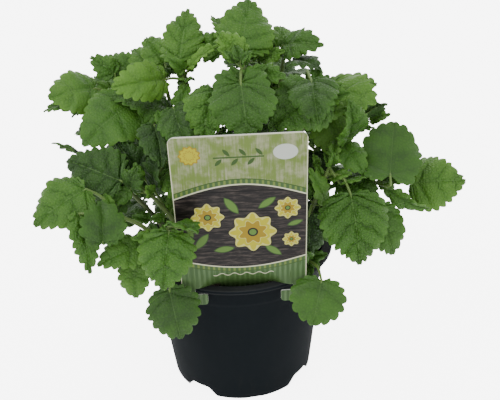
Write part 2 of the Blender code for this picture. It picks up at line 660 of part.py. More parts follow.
def leaf_mesh(spec, path):
    """A blade and its stalk as one closed solid."""
    points, faces, ring = blade_mesh(spec)
    side = (points[ring[0]] - points[ring[1]]).normalized()
    for i in range(1, len(path)):
        ahead = path[min(i + 1, len(path) - 1)] - path[i - 1]
        ahead.normalize()
        side = (side - ahead * side.dot(ahead)).normalized()
        other = side.cross(ahead)
        start = len(points)
        for a, b in ((1, 1), (-1, 1), (-1, -1), (1, -1)):
            points.append(path[i] + side * a * PETIOLE_HALF + other * b * PETIOLE_HALF)
        following = tuple(range(start, start + 4))
        for k in range(4):
            faces.append((ring[k], ring[(k + 1) % 4], following[(k + 1) % 4], following[k]))
        ring = following
    faces.append(ring)
    return points, faces


def moves():
    """Shifts and swings of a blade, from none to large, tried in turn until it hangs clear."""
    tries = []
    for shift in (0, 2, -2, 4, -4, 7, -7, 10, -10, 14, -14):
        for swing in (0, 5, -5, 10, -10, 16, -16):
            for aside in (0, 6, -6, 12, -12):
                tries.append((abs(shift) + 0.5 * abs(swing) + 0.7 * abs(aside), shift, swing, aside))
    return [each[1:] for each in sorted(tries, key=lambda each: each[0])]


def settle_leaf(spec, barriers):
    """Bends a leaf clear of everything that is already in place."""
    across, out = blade_frame(spec)[2:]
    for shift, swing, aside in moves():
        moved = spec._replace(base=spec.base + out * shift,
                              tip=spec.tip + out * (shift + swing) + across * aside)
        points, faces, ring = blade_mesh(moved, BLADE + 2 * CLEARANCE, 2 * CLEARANCE)
        if not meets(points, faces, barriers):
            return moved
    return None


def settle_petiole(spec, stem, barriers):
    """Bows a leaf stalk clear of everything that is already in place."""
    frame = blade_frame(spec)
    start, upward = point_on(stem, spec.at)
    away = spec.base - start
    away -= upward * away.dot(upward)
    leaving = (away.normalized() + upward * 0.9).normalized()
    for size in (0, 4, 8, 12, 17, 23):
        for k in range(8):
            turn = math.tau * k / 8
            aim = (spec.base - start).normalized()
            side = aim.orthogonal().normalized()
            bow = (side * math.cos(turn) + aim.cross(side) * math.sin(turn)) * size
            path = petiole_path(spec, frame, start, leaving, bow)
            widths = [PETIOLE_HALF + CLEARANCE] * len(path)
            points, faces = tube(path, widths)
            if not meets(points, faces, barriers):
                return path
            if size == 0:
                break
    return None


def paired_leaves(shoot, stem, dice):
    """Opposite pairs, each turned a quarter from the one below, smaller and steeper upwards."""
    leaves = []
    quarter = dice.uniform(0, math.pi)
    lean = Vector(shoot.path[-1]) - Vector(shoot.path[0])
    outward = math.atan2(lean.y, lean.x)
    for level, at in enumerate(shoot.pairs):
        place, upward = point_on(stem, at)
        age = 1 - at
        for side in (0, math.pi):
            turn = outward + quarter + side + level * math.pi / 2 + dice.uniform(-0.3, 0.3)
            size = shoot.size * (0.62 + 0.75 * age) * dice.uniform(0.88, 1.12)
            stalk = size * (0.25 + 0.75 * age)
            rise = math.radians(42 - 46 * age + dice.uniform(-12, 12))
            flat = Vector((math.cos(turn), math.sin(turn), 0))
            aim = flat * math.cos(rise) + Vector((0, 0, math.sin(rise)))
            droop = Vector((0, 0, -0.55 * age - 0.25))
            base = place + aim * stalk
            tip = base + (aim + droop).normalized() * size
            leaves.append(Leaf(at, base, tip, dice.uniform(0.8, 1.0), dice.uniform(-25, 25),
                               dice.uniform(0.06, 0.13), dice.uniform(6, 18), dice.uniform(-12, 12),
                               HEART, min(teeth_of(size), HIDDEN_TEETH - (at < 0.9))))
    return leaves


def up_facing(spec):
    """Leaves placed by the rule look up and outwards, not to the front."""
    along = (spec.tip - spec.base).normalized()
    outward = Vector((spec.base.x, spec.base.y, 0)).normalized()
    wanted = Vector((0, 0, 1)) + outward * 0.6 + LIGHT * 0.3
    wanted = (wanted - along * wanted.dot(along)).normalized()
    plain = (LIGHT - along * LIGHT.dot(along)).normalized()
    turn = math.degrees(math.atan2(plain.cross(wanted).dot(along), plain.dot(wanted)))
    return spec._replace(roll=spec.roll + turn)


class Thicket:
    """Everything that stands already, which each new leaf is bent clear of."""

    def __init__(self, fixed):
        self.blades = list(fixed)
        self.stems = {shoot.name: BVHTree.FromPolygons(*stem_mesh(shoot)) for shoot in SHOOTS}
        self.stalks = {shoot.name: [] for shoot in SHOOTS}

    def settle(self, shoot, spec):
        """A leaf bent clear, with its stalk's line, or None where there is no room for it."""
        others = [tree for name, group in self.stalks.items() if name != shoot.name for tree in group]
        placed = settle_leaf(spec, self.blades + list(self.stems.values()) + others)
        if placed is None:
            return None
        far_stems = [tree for name, tree in self.stems.items() if name != shoot.name]
        path = settle_petiole(placed, stem_path(shoot), self.blades + far_stems + others)
        if path is None:
            return None
        points, faces, ring = blade_mesh(placed)
        self.blades.append(BVHTree.FromPolygons(points, faces))
        stalk = tube(path, [PETIOLE_HALF] * len(path))
        self.stalks[shoot.name].append(BVHTree.FromPolygons(*stalk))
        return placed, path


def planned_leaves():
    """(shoot, leaf) in the order that they grow: the known ones first, then the pairs by rule."""
    dice = random.Random(SEED)
    plans = [(shoot, spec) for shoot in SHOOTS for spec in shoot.leaves]
    for shoot in SHOOTS:
        for spec in paired_leaves(shoot, stem_path(shoot), dice):
            plans.append((shoot, up_facing(spec)))
    return plans


def make_shoots(fixed):
    """All the leafy stems, each one solid with its leaves."""
    thicket = Thicket(fixed)
    grown = {shoot.name: [] for shoot in SHOOTS}
    for shoot, spec in planned_leaves():
        settled = thicket.settle(shoot, spec)
        if settled is not None:
            grown[shoot.name].append(settled)
    for number, shoot in enumerate(SHOOTS):
        colour = LEAF_GREENS[number % len(LEAF_GREENS)]
        stem = put_mesh(shoot.name, *stem_mesh(shoot), colour, LEAF_ROUGHNESS)
        leaves = []
        for spec, path in grown[shoot.name]:
            leaves.append(put_mesh("leaf", *leaf_mesh(spec, path), colour, LEAF_ROUGHNESS))
        combine(stem, leaves, "UNION")


def barrier_of(obj):
    """A placed object as a barrier, in millimetres."""
    points = [vertex.co / MM for vertex in obj.data.vertices]
    return BVHTree.FromPolygons(points, [tuple(face.vertices) for face in obj.data.polygons])


def main():
    for obj in list(bpy.data.objects):
        bpy.data.objects.remove(obj)
    pot = make_pot()
    label = make_label()
    soil = make_soil()
    make_shoots([barrier_of(pot), barrier_of(label), barrier_of(soil)])


main()
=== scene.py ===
"""Looks of a lemon balm plant in a nursery pot: leafy stems, pot, label, soil and a plain stage.

Laid out as a Blender add-on and run as a script. The plan of the plant, its places and its rule
for bending leaves clear of each other are in millimetres, as put_mesh() expects. Everything that
reads an object's own coordinates in a material is in metres.
"""

import math
import random
from collections import namedtuple

import bpy
import numpy as np
from bpy.props import FloatProperty, FloatVectorProperty, IntProperty, PointerProperty
from mathutils import Matrix, Vector
from mathutils.bvhtree import BVHTree


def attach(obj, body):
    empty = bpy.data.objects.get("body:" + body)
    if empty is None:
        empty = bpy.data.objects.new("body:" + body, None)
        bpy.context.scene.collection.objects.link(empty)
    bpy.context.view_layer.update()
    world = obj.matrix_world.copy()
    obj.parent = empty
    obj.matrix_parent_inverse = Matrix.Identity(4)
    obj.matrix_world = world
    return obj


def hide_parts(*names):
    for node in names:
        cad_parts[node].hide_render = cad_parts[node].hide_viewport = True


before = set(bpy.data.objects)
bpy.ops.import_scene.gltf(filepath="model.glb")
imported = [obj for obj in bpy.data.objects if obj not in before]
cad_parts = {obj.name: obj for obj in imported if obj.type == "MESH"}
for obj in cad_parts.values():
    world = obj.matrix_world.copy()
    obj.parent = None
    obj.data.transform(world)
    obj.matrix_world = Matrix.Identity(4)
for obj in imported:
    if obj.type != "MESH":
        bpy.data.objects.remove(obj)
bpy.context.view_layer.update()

bl_info = {
    "name": "Lemon balm in a nursery pot",
    "version": (1, 0, 0),
    "blender": (4, 5, 0),
    "location": "3D View > Sidebar > Lemon balm",
    "description": "Fine leaves, stems, pot, label and soil around the plant's solids",
    "category": "Object",
}

BODY = "root"
MM = 0.001
GAP = 0.3
SEED = 12

# Pot: a thin black shell with a turned-out lip, a stacking step and a channelled foot.
POT_HEIGHT = 90.0
LIP_RADIUS = 60.0
LIP_DEPTH = 2.6
MOUTH_RADIUS = 54.2
FOOT_RADIUS = 45.4
WALL = 1.4
STEP_HEIGHT = 75.0
STEP_DEPTH = 0.6
BULGE = 0.9
PAD_RADIUS = 10.0
FOOT_RING = 5.0
FLOOR_LIFT = 0.6
CHANNEL_TURN = math.radians(-37)
SMALL_CHANNEL_TURN = math.radians(-82)
CHANNELS = 4
CHANNEL = dict(width=24.0, slope=6.0, height=6.4, start=20.0)
SMALL_CHANNEL = dict(width=11.0, slope=3.0, height=1.6, start=44.6)
HOOD_END = 0.4
BAR_EDGE = 0.8
DRAIN_RADIUS = 3.5
DRAIN_PLACE = 26.0

# Soil: one plug, slightly heaped, with a plain hole for each stem.
SOIL_TOP = 80.0
SOIL_HEAP = 2.0
HOLE_DEPTH = 11.0

# Label: a stiff plastic tag. Its tongue stands in the soil, and its two side tabs run down
# outside the lip and hook under it.
LABEL_WIDTH = 71.0
LABEL_HEIGHT = 112.0
LABEL_THICKNESS = 0.8
LABEL_LEAN = math.radians(8.5)
LABEL_FOOT = Vector((2.8, -53.9, 78.4))
LABEL_CORNER = 4.0
TONGUE_HALF = 14.0
TONGUE_DEPTH = 8.5
TAB_INSIDE = 28.0
HOOK_INSIDE = 21.0
HOOK_TOP = 8.0
HOOK_CORNER = 2.2
SHOULDER = 12.2
BEND_TOP = 32.5
BEND_DEPTH = 12.8

# Stems and leaves.
STEM_FOOT = 1.7
STEM_TIP = 0.9
STEM_STATIONS = 5
PETIOLE_HALF = 0.75
PETIOLE_RINGS = 3
PETIOLE_LONG = 24
BLADE = 0.7
LIGHT = Vector((0.0, -0.70, 0.71))
CLEARANCE = 0.45
TEETH = ((17, 3), (34, 4), (99, 5))
HIDDEN_TEETH = 4
HEART = 0.055
WIDEST = 0.3
NOTCH = 0.85
CUP = 0.30
RIPPLE = 0.05
RIPPLE_TURNS = 9

Leaf = namedtuple("Leaf", "at base tip wide roll arch fold twist heart teeth")
Shoot = namedtuple("Shoot", "name path leaves pairs size")


def leaf(at, base, tip, wide=0.84, roll=0, arch=0.08, fold=10, twist=0, heart=HEART):
    """One leaf: where on its stem it grows (0 foot, 1 tip), and where its blade starts and ends."""
    base, tip = Vector(base), Vector(tip)
    return Leaf(at, base, tip, wide, roll, arch, fold, twist, heart, teeth_of((tip - base).length))


def teeth_of(length):
    """A longer blade has more teeth a side."""
    return next(teeth for longest, teeth in TEETH if length < longest)


# Each shoot: its name, the points that its stem runs through from the soil up, the leaves
# whose places are known, and where along the stem further pairs grow by the rule of the plant.
SHOOTS = (
    Shoot("shoot_front_centre", ((-2, -22, 80), (0, -28, 140), (5, -32, 185), (7, -30, 212)), (
        leaf(0.97, (6, -40, 206), (8, -59, 182), wide=1.18, arch=0.12, fold=6, heart=0.26),
        leaf(0.90, (-8, -34, 202), (-15, -53, 179), wide=0.95, roll=10, arch=0.12),
        leaf(0.97, (8, -22, 215), (-6, -14, 227), wide=0.80, roll=-20, fold=14),
        leaf(0.90, (16, -28, 207), (30, -36, 207), wide=0.8, roll=20, fold=14),
    ), (0.62,), 30),
    Shoot("shoot_top_centre", ((4, 4, 80), (8, 2, 150), (9, 0, 196), (9, -2, 210)), (
        leaf(0.97, (8, -8, 213), (13, 20, 237), wide=0.92, arch=0.05, fold=5),
        leaf(0.97, (4, 2, 214), (-8, 22, 229), wide=0.6, roll=25, fold=20),
        leaf(0.88, (17, 2, 205), (32, -3, 212), wide=0.8, roll=10, fold=12),
        leaf(0.88, (-4, 6, 209), (-21, 19, 218), wide=0.8, roll=-8, fold=12),
    ), (0.62,), 32),
    Shoot("shoot_top_right", ((16, 4, 80), (25, 4, 150), (31, 8, 196), (33, 8, 210)), (
        leaf(0.97, (32, 8, 212), (53, -8, 216), wide=0.80, roll=5, arch=0.10),
        leaf(0.90, (36, 2, 206), (51, -15, 205), wide=0.85, roll=-25, arch=0.12, fold=16),
        leaf(0.97, (31, 12, 210), (33, 28, 219), wide=0.95, roll=12),
    ), (), 30),
    Shoot("shoot_front_right", ((14, -20, 80), (30, -20, 140), (44, -14, 178), (48, -16, 190)), (
        leaf(0.98, (50, -20, 191), (20, -42, 181), wide=0.95, roll=-10, arch=0.12, fold=16),
        leaf(0.98, (46, -22, 193), (47, -47, 177), wide=0.95, roll=8, arch=0.14, fold=16),
        leaf(0.98, (50, -10, 196), (62, -14, 183), wide=0.8, roll=30, arch=0.15),
        leaf(0.86, (36, -20, 183), (29, -30, 196), wide=0.8, roll=-20, arch=0.15),
        leaf(0.52, (48, -8, 152), (43, -24, 128), wide=1.0, arch=0.1),
    ), (0.60,), 32),
    Shoot("shoot_right", ((24, -4, 80), (42, -6, 130), (56, -2, 166), (61, 0, 176)), (
        leaf(0.98, (56, 2, 186), (82, -18, 185), wide=0.98, fold=5),
        leaf(0.98, (68, 8, 187), (88, 9, 186), wide=0.7, roll=15, arch=0.12),
        leaf(0.90, (66, -16, 163), (52, -22, 183), wide=0.85, roll=30, arch=0.1, fold=30),
        leaf(0.86, (63, -18, 160), (74, -34, 148), wide=0.8, arch=0.15),
        leaf(0.76, (53, -4, 174), (66, -13, 152), wide=1.0, roll=5, arch=0.1),
    ), (0.60,), 32),
    Shoot("shoot_low_right", ((26, -22, 80), (40, -27, 112), (50, -28, 138), (55, -27, 150)), (
        leaf(0.90, (65, -42, 139), (68, -61, 104), wide=1.02, arch=0.10, fold=8),
        leaf(0.98, (57, -33, 148), (79, -18, 159), wide=0.75, roll=-48, arch=0.05, fold=30),
        leaf(0.84, (62, -18, 140), (84, -16, 134), wide=0.95, roll=-12, arch=0.1),
        leaf(0.60, (42, -36, 124), (39, -46, 100), wide=0.9, roll=-30, arch=0.1),
        leaf(0.72, (52, -32, 130), (43, -34, 152), wide=0.55, roll=20, arch=0.06, fold=20),
    ), (), 30),
    Shoot("shoot_far_right", ((30, -12, 80), (54, -16, 108), (76, -18, 130), (86, -20, 136)), (
        leaf(0.96, (106, -12, 130), (138, -17, 132), wide=1.12, arch=0.05, fold=4),
        leaf(0.92, (88, -32, 141), (95, -4, 163), wide=0.98, arch=-0.04, fold=5),
        leaf(0.98, (89, -24, 133), (114, -30, 121), wide=0.5, roll=70, arch=0.1, fold=26),
        leaf(0.72, (82, -30, 124), (91, -42, 98), wide=0.9, arch=0.1),
        leaf(0.42, (58, -16, 124), (46, -28, 103), wide=1.0, arch=0.1),
    ), (), 30),
    Shoot("shoot_rim_right", ((28, -32, 80), (34, -38, 92), (39, -42, 99)), (
        leaf(0.97, (47, -53, 90), (40.5, -66, 69), wide=1.24, arch=0.10, fold=8),
        leaf(0.90, (45, -34, 108), (60, -40, 122), wide=0.9, roll=30, arch=0.1),
    ), (), 26),
    Shoot("shoot_upper_left", ((-10, -4, 80), (-18, -2, 140), (-24, 0, 180), (-26, 2, 200)), (
        leaf(0.98, (-28, 2, 205), (-22, 28, 230), wide=0.72, arch=0.04, fold=6),
        leaf(0.94, (-37, -2, 198), (-65, -18, 200), wide=0.72, roll=-25, arch=0.14, fold=14),
        leaf(0.94, (-22, -4, 205), (-5, -6, 218), wide=0.55, roll=-25, arch=0.05, fold=34),
        leaf(0.84, (-24, -8, 196), (-31, -15, 177), wide=0.6, roll=30, arch=0.06, fold=24),
    ), (0.60,), 32),
    Shoot("shoot_high_left", ((-20, 10, 80), (-30, 12, 140), (-36, 12, 180), (-39, 12, 195)), (
        leaf(0.98, (-40, 8, 198), (-57, 26, 210), wide=0.90, arch=0.05, fold=8),
        leaf(0.98, (-36, 10, 203), (-48, 28, 214), wide=0.80, roll=-15, fold=20),
        leaf(0.90, (-55, 16, 197), (-76, 30, 203), wide=0.75, roll=-20, arch=0.14),
    ), (), 30),
    Shoot("shoot_left_back", ((-26, 14, 80), (-48, 20, 136), (-62, 20, 170), (-68, 18, 184)), (
        leaf(0.98, (-80, 16, 189), (-106, 5, 188), wide=1.06, fold=6),
        leaf(0.98, (-68, 22, 194), (-82, 26, 204), wide=0.85, roll=-10, arch=0.14),
        leaf(0.84, (-86, 11, 180), (-111, 9, 179), wide=0.7, roll=30, arch=0.1, fold=20),
    ), (0.60,), 30),
    Shoot("shoot_left", ((-22, -4, 80), (-36, -6, 128), (-46, -4, 162), (-50, -2, 176)), (
        leaf(0.98, (-53, 3, 185), (-84, -24, 170), wide=0.92, fold=8),
        leaf(0.84, (-60, -12, 158), (-44, -20, 176), wide=0.9, roll=15, arch=0.1, fold=16),
        leaf(0.74, (-64, -14, 152), (-86, -22, 150), wide=0.7, roll=10, arch=0.1),
        leaf(0.50, (-44, -2, 143), (-56, 4, 165), wide=0.95),
    ), (0.55,), 30),
    Shoot("shoot_inner_left", ((-14, -16, 80), (-24, -24, 126), (-32, -28, 160), (-35, -28, 176)), (
        leaf(0.98, (-31, -30, 191), (-23, -50, 174), wide=0.9, roll=15, arch=0.12),
        leaf(0.98, (-44, -26, 178), (-40, -44, 160), wide=0.9, roll=-20, arch=0.12, fold=14),
        leaf(0.80, (-44, -36, 146), (-41, -42, 170), wide=0.75, roll=-40, fold=24),
        leaf(0.62, (-36, -33, 156), (-33, -46, 135), wide=0.85, roll=-15, arch=0.1, fold=14),
    ), (0.52,), 28),
    Shoot("shoot_mid_left", ((-18, -26, 80), (-30, -36, 114), (-45, -38, 140), (-58, -38, 151)), (
        leaf(0.98, (-62, -40, 153), (-95, -24, 161), wide=0.86, roll=-12, arch=0.06, fold=8),
        leaf(0.90, (-62, -34, 142), (-80, -42, 134), wide=0.85, arch=0.1),
        leaf(0.80, (-56, -40, 150), (-50, -50, 166), wide=0.75, roll=20, arch=0.1),
        leaf(0.62, (-52, -28, 150), (-65, -22, 169), wide=0.95, roll=-10),
    ), (), 28),
    Shoot("shoot_low_left", ((-24, -30, 80), (-36, -42, 108), (-52, -48, 128), (-66, -49, 137)), (
        leaf(0.98, (-81, -46, 152), (-109, -58, 137), wide=0.98, roll=8),
        leaf(0.98, (-85, -57, 143), (-81, -69, 112), wide=0.5, roll=-20, fold=16),
        leaf(0.90, (-74, -62, 127), (-74, -52, 147), wide=1.2, roll=20, fold=24),
        leaf(0.60, (-53, -58, 122), (-76, -69, 117), wide=0.80, arch=0.10),
        leaf(0.50, (-58, -58, 112), (-58, -65, 92), wide=0.88),
    ), (), 28),
    Shoot("shoot_rim_left", ((-20, -36, 80), (-31, -48, 98), (-37, -56, 116), (-38, -60, 126)), (
        leaf(0.98, (-36, -66, 134), (-41, -79, 105), wide=0.98, arch=0.10),
        leaf(0.98, (-33, -66, 137), (-14, -76, 143), wide=0.8, roll=-45, arch=0.05, fold=30),
        leaf(0.40, (-40, -54, 91), (-35, -65, 65), wide=1.06, arch=0.10, fold=8),
    ), (), 26),
    Shoot("shoot_middle", ((-8, 12, 80), (-10, 14, 120), (-11, 16, 148), (-12, 17, 160)),
          (), (0.56, 0.76, 0.96), 34),
    Shoot("shoot_middle_right", ((12, 14, 80), (18, 20, 130), (22, 24, 166), (23, 25, 178)),
          (), (0.58, 0.77, 0.96), 34),
    Shoot("shoot_back_left", ((-24, 26, 80), (-46, 42, 124), (-66, 54, 150), (-76, 60, 160)),
          (), (0.42, 0.62, 0.80, 0.97), 36),
    Shoot("shoot_back", ((0, 30, 80), (8, 46, 136), (14, 56, 172), (17, 60, 186)),
          (), (0.42, 0.62, 0.80, 0.97), 36),
    Shoot("shoot_back_right", ((18, 26, 80), (30, 40, 122), (39, 52, 148), (43, 58, 158)),
          (), (0.42, 0.62, 0.80, 0.97), 36),
    Shoot("shoot_side_right", ((30, 12, 80), (54, 22, 120), (72, 30, 146), (82, 34, 154)),
          (), (0.38, 0.56, 0.78, 0.97), 34),
    Shoot("shoot_side_left", ((-34, 6, 80), (-58, 12, 112), (-78, 18, 132), (-88, 20, 138)),
          (), (0.38, 0.56, 0.78, 0.97), 33),
    Shoot("shoot_low_back", ((4, 40, 80), (8, 62, 104), (12, 80, 118), (14, 88, 122)),
          (), (0.66, 0.95), 32),
)


# ---------------------------------------------------------------- the plan of the plant


def smooth_path(points, stations):
    """Evenly numbered points of a smooth curve through the given ones."""
    points = [Vector(p) for p in points]
    ends = [2 * points[0] - points[1]] + points + [2 * points[-1] - points[-2]]
    path = []
    for i in range(stations):
        along = i / (stations - 1) * (len(points) - 1)
        k = min(int(along), len(points) - 2)
        u = along - k
        a, b, c, d = ends[k:k + 4]
        path.append(0.5 * (2 * b + (c - a) * u + (2 * a - 5 * b + 4 * c - d) * u ** 2
                           + (3 * b - a - 3 * c + d) * u ** 3))
    return path


def point_on(path, share):
    """The place and the direction of a path at a share of its length."""
    along = share * (len(path) - 1)
    k = min(int(along), len(path) - 2)
    place = path[k].lerp(path[k + 1], along - k)
    return place, (path[k + 1] - path[k]).normalized()


def meets(points, faces, barriers):
    """Whether a solid's surface cuts one of the barriers."""
    tree = BVHTree.FromPolygons(points, faces)
    return any(tree.overlap(barrier) for barrier in barriers)


def stem_path(shoot, stations=STEM_STATIONS):
    """The stem's line: from the bottom of its hole straight up, then through the shoot's points."""
    bottom = Vector(shoot.path[0]) - Vector((0, 0, HOLE_DEPTH - GAP))
    return [bottom] + smooth_path(shoot.path, stations)


def bar_faces(rings):
    """The faces of a bar of rings of four points, closed at both ends."""
    faces = []
    for ring in range(rings - 1):
        for k in range(4):
            low, high = ring * 4 + k, ring * 4 + (k + 1) % 4
            faces.append((low, high, high + 4, low + 4))
    last = 4 * (rings - 1)
    return faces + [(3, 2, 1, 0), (last, last + 1, last + 2, last + 3)]


def tube(path, half_widths):
    """A four-sided tube along a path, closed at both ends."""
    points = []
    side = Vector((1, 0, 0))
    for i, place in enumerate(path):
        ahead = path[min(i + 1, len(path) - 1)] - path[max(i - 1, 0)]
        ahead.normalize()
        side = (side - ahead * side.dot(ahead)).normalized()
        other = ahead.cross(side)
        for a, b in ((-1, -1), (1, -1), (1, 1), (-1, 1)):
            points.append(place + side * a * half_widths[i] + other * b * half_widths[i])
    return points, bar_faces(len(path))


def stem_mesh(shoot):
    path = stem_path(shoot)
    return tube(path, [STEM_FOOT + (STEM_TIP - STEM_FOOT) * i / STEM_STATIONS for i in range(len(path))])


def half_breadth(t):
    """Share of the blade's half breadth at t along it: a heart-shaped foot and a blunt point."""
    if t < WIDEST:
        return math.sqrt(max(1 - ((t - WIDEST) / 0.37) ** 2, 0))
    return max(math.cos((t - WIDEST) / (1 - WIDEST) * math.pi / 2), 0) ** 0.8


def blade_edge(teeth, heart):
    """The cut edge of one half of a blade, from its foot to its point, as (t, share)."""
    edge = [(-heart, 0.26)]
    if heart > 0.1:
        edge.append((-heart * 0.7, 0.72))
    for k in range(teeth):
        crest = 0.10 + 0.80 * k / (teeth - 0.4)
        notch = crest + 0.42 / teeth
        edge.append((crest, half_breadth(crest)))
        edge.append((notch, half_breadth(notch) * NOTCH))
    return edge


def blade_axes(spec, swell=0.0):
    """The blade's length, and its directions along, across and out of its upper face."""
    along = spec.tip - spec.base
    length = along.length
    along.normalize()
    out = LIGHT - along * LIGHT.dot(along)
    out.normalize()
    out.rotate(Matrix.Rotation(math.radians(spec.roll), 3, along))
    return length + swell, along, out.cross(along), out


def blade_place(spec, axes, t, share, lift):
    """A point of the blade: t along it, share of its half breadth, lift off its middle skin."""
    length, along, across, out = axes
    half = length * spec.wide / 2
    fold = math.radians(spec.fold)
    turn = math.radians(spec.twist) * (t - WIDEST)
    side = across * math.cos(turn) + out * math.sin(turn)
    face = out * math.cos(turn) - across * math.sin(turn)
    reach = abs(share) * half
    rise = reach * math.sin(fold) - CUP * reach * reach / half
    wave = math.sin(RIPPLE_TURNS * t + math.copysign(2, share))
    rise += RIPPLE * length * wave * share * share
    rise += spec.arch * length * 4 * max(t, 0) * (1 - t)
    tilt = math.copysign(fold, share) if share else 0
    skin = face * math.cos(tilt) - side * math.sin(tilt)
    if share == 0:
        skin = face / math.cos(fold)
    place = spec.base + along * (t * length) + side * (share * half * math.cos(fold))
    return place + face * rise + skin * lift


def petiole_path(spec, axes, start, leaving, bow):
    """The leaf stalk's line from the blade's foot back into the stem."""
    along, out = axes[1], axes[3]
    arriving = (along + out * 4 * spec.arch).normalized()
    reach = (spec.base - start).length * 0.42
    first = start + leaving * reach + bow
    last = spec.base - arriving * reach + bow
    path = []
    rings = PETIOLE_RINGS if (spec.base - start).length > PETIOLE_LONG else PETIOLE_RINGS - 1
    for i in range(rings + 1):
        u = 1 - i / rings
        path.append(start * (1 - u) ** 3 + first * 3 * u * (1 - u) ** 2
                    + last * 3 * u * u * (1 - u) + spec.base * u ** 3)
    return path


def blade_mesh(spec, thickness=BLADE, swell=0.0):
    """Both skins of a blade and its cut edge, open only at the foot, where the stalk joins it."""
    axes = blade_axes(spec, swell)
    half = axes[0] * spec.wide / 2
    foot = PETIOLE_HALF / half
    edge = blade_edge(spec.teeth, spec.heart)
    ribs = [0.22, 0.48, 0.74] if spec.teeth > HIDDEN_TEETH else [0.3, 0.65]
    outline = [(0, foot)] + edge + [(1, 0)] + [(t, -s) for t, s in reversed(edge)] + [(0, -foot)]
    flat = outline + [(t, 0) for t in ribs]
    points = []
    for side in (1, -1):
        points += [blade_place(spec, axes, t, s, side * thickness / 2) for t, s in flat]
    count, rim = len(flat), len(outline)
    peak = len(edge) + 1
    skin = [(rim - 1, 0, rim)]
    for chain in (list(range(0, peak + 1)), list(range(rim - 1, peak - 1, -1))):
        middle = list(range(rim, count)) + [peak]
        i = j = 0
        while i < len(chain) - 1 and j < len(middle) - 1:
            if flat[chain[i + 1]][0] <= flat[middle[j + 1]][0] and chain[i + 1] != peak:
                skin.append((chain[i], chain[i + 1], middle[j]))
                i += 1
            elif middle[j + 1] != peak:
                skin.append((chain[i], middle[j + 1], middle[j]))
                j += 1
            else:
                skin.append((chain[i], peak, middle[j]))
                i += 1
                if chain[i] == peak:
                    break
    faces = list(skin) + [tuple(k + count for k in face) for face in skin]
    for k in range(rim - 1):
        faces += [(k, k + 1, k + 1 + count), (k, k + 1 + count, k + count)]
    return points, faces


def moves():
    """Shifts and swings of a blade, from none to large, tried in turn until it hangs clear."""
    tries = []
    for shift in (0, 2, -2, 4, -4, 7, -7, 10, -10, 14, -14):
        for swing in (0, 5, -5, 10, -10, 16, -16):
            for aside in (0, 6, -6, 12, -12):
                tries.append((abs(shift) + 0.5 * abs(swing) + 0.7 * abs(aside), shift, swing, aside))
    return [each[1:] for each in sorted(tries, key=lambda each: each[0])]


def settle_leaf(spec, barriers):
    """Bends a leaf clear of everything that is already in place."""
    across, out = blade_axes(spec)[2:]
    for shift, swing, aside in moves():
        moved = spec._replace(base=spec.base + out * shift,
                              tip=spec.tip + out * (shift + swing) + across * aside)
        if not meets(*blade_mesh(moved, BLADE + 2 * CLEARANCE, 2 * CLEARANCE), barriers):
            return moved
    return None


def settle_petiole(spec, stem, barriers):
    """Bows a leaf stalk clear of everything that is already in place."""
    axes = blade_axes(spec)
    start, upward = point_on(stem, spec.at)
    away = spec.base - start
    away -= upward * away.dot(upward)
    leaving = (away.normalized() + upward * 0.9).normalized()
    for size in (0, 4, 8, 12, 17, 23):
        for k in range(8):
            turn = math.tau * k / 8
            aim = (spec.base - start).normalized()
            side = aim.orthogonal().normalized()
            bow = (side * math.cos(turn) + aim.cross(side) * math.sin(turn)) * size
            path = petiole_path(spec, axes, start, leaving, bow)
            if not meets(*tube(path, [PETIOLE_HALF + CLEARANCE] * len(path)), barriers):
                return path
            if size == 0:
                break
    return None


def paired_leaves(shoot, stem, dice):
    """Opposite pairs, each turned a quarter from the one below, smaller and steeper upwards."""
    leaves = []
    quarter = dice.uniform(0, math.pi)
    lean = Vector(shoot.path[-1]) - Vector(shoot.path[0])
    outward = math.atan2(lean.y, lean.x)
    for level, at in enumerate(shoot.pairs):
        place = point_on(stem, at)[0]
        age = 1 - at
        for side in (0, math.pi):
            turn = outward + quarter + side + level * math.pi / 2 + dice.uniform(-0.3, 0.3)
            size = shoot.size * (0.62 + 0.75 * age) * dice.uniform(0.88, 1.12)
            stalk = size * (0.25 + 0.75 * age)
            rise = math.radians(42 - 46 * age + dice.uniform(-12, 12))
            flat = Vector((math.cos(turn), math.sin(turn), 0))
            aim = flat * math.cos(rise) + Vector((0, 0, math.sin(rise)))
            droop = Vector((0, 0, -0.55 * age - 0.25))
            base = place + aim * stalk
            tip = base + (aim + droop).normalized() * size
            leaves.append(Leaf(at, base, tip, dice.uniform(0.8, 1.0), dice.uniform(-25, 25),
                               dice.uniform(0.06, 0.13), dice.uniform(6, 18), dice.uniform(-12, 12),
                               HEART, min(teeth_of(size), HIDDEN_TEETH - (at < 0.9))))
    return leaves


def up_facing(spec):
    """Leaves placed by the rule look up and outwards, not to the front."""
    along = (spec.tip - spec.base).normalized()
    outward = Vector((spec.base.x, spec.base.y, 0)).normalized()
    wanted = Vector((0, 0, 1)) + outward * 0.6 + LIGHT * 0.3
    wanted = (wanted - along * wanted.dot(along)).normalized()
    plain = (LIGHT - along * LIGHT.dot(along)).normalized()
    turn = math.degrees(math.atan2(plain.cross(wanted).dot(along), plain.dot(wanted)))
    return spec._replace(roll=spec.roll + turn)


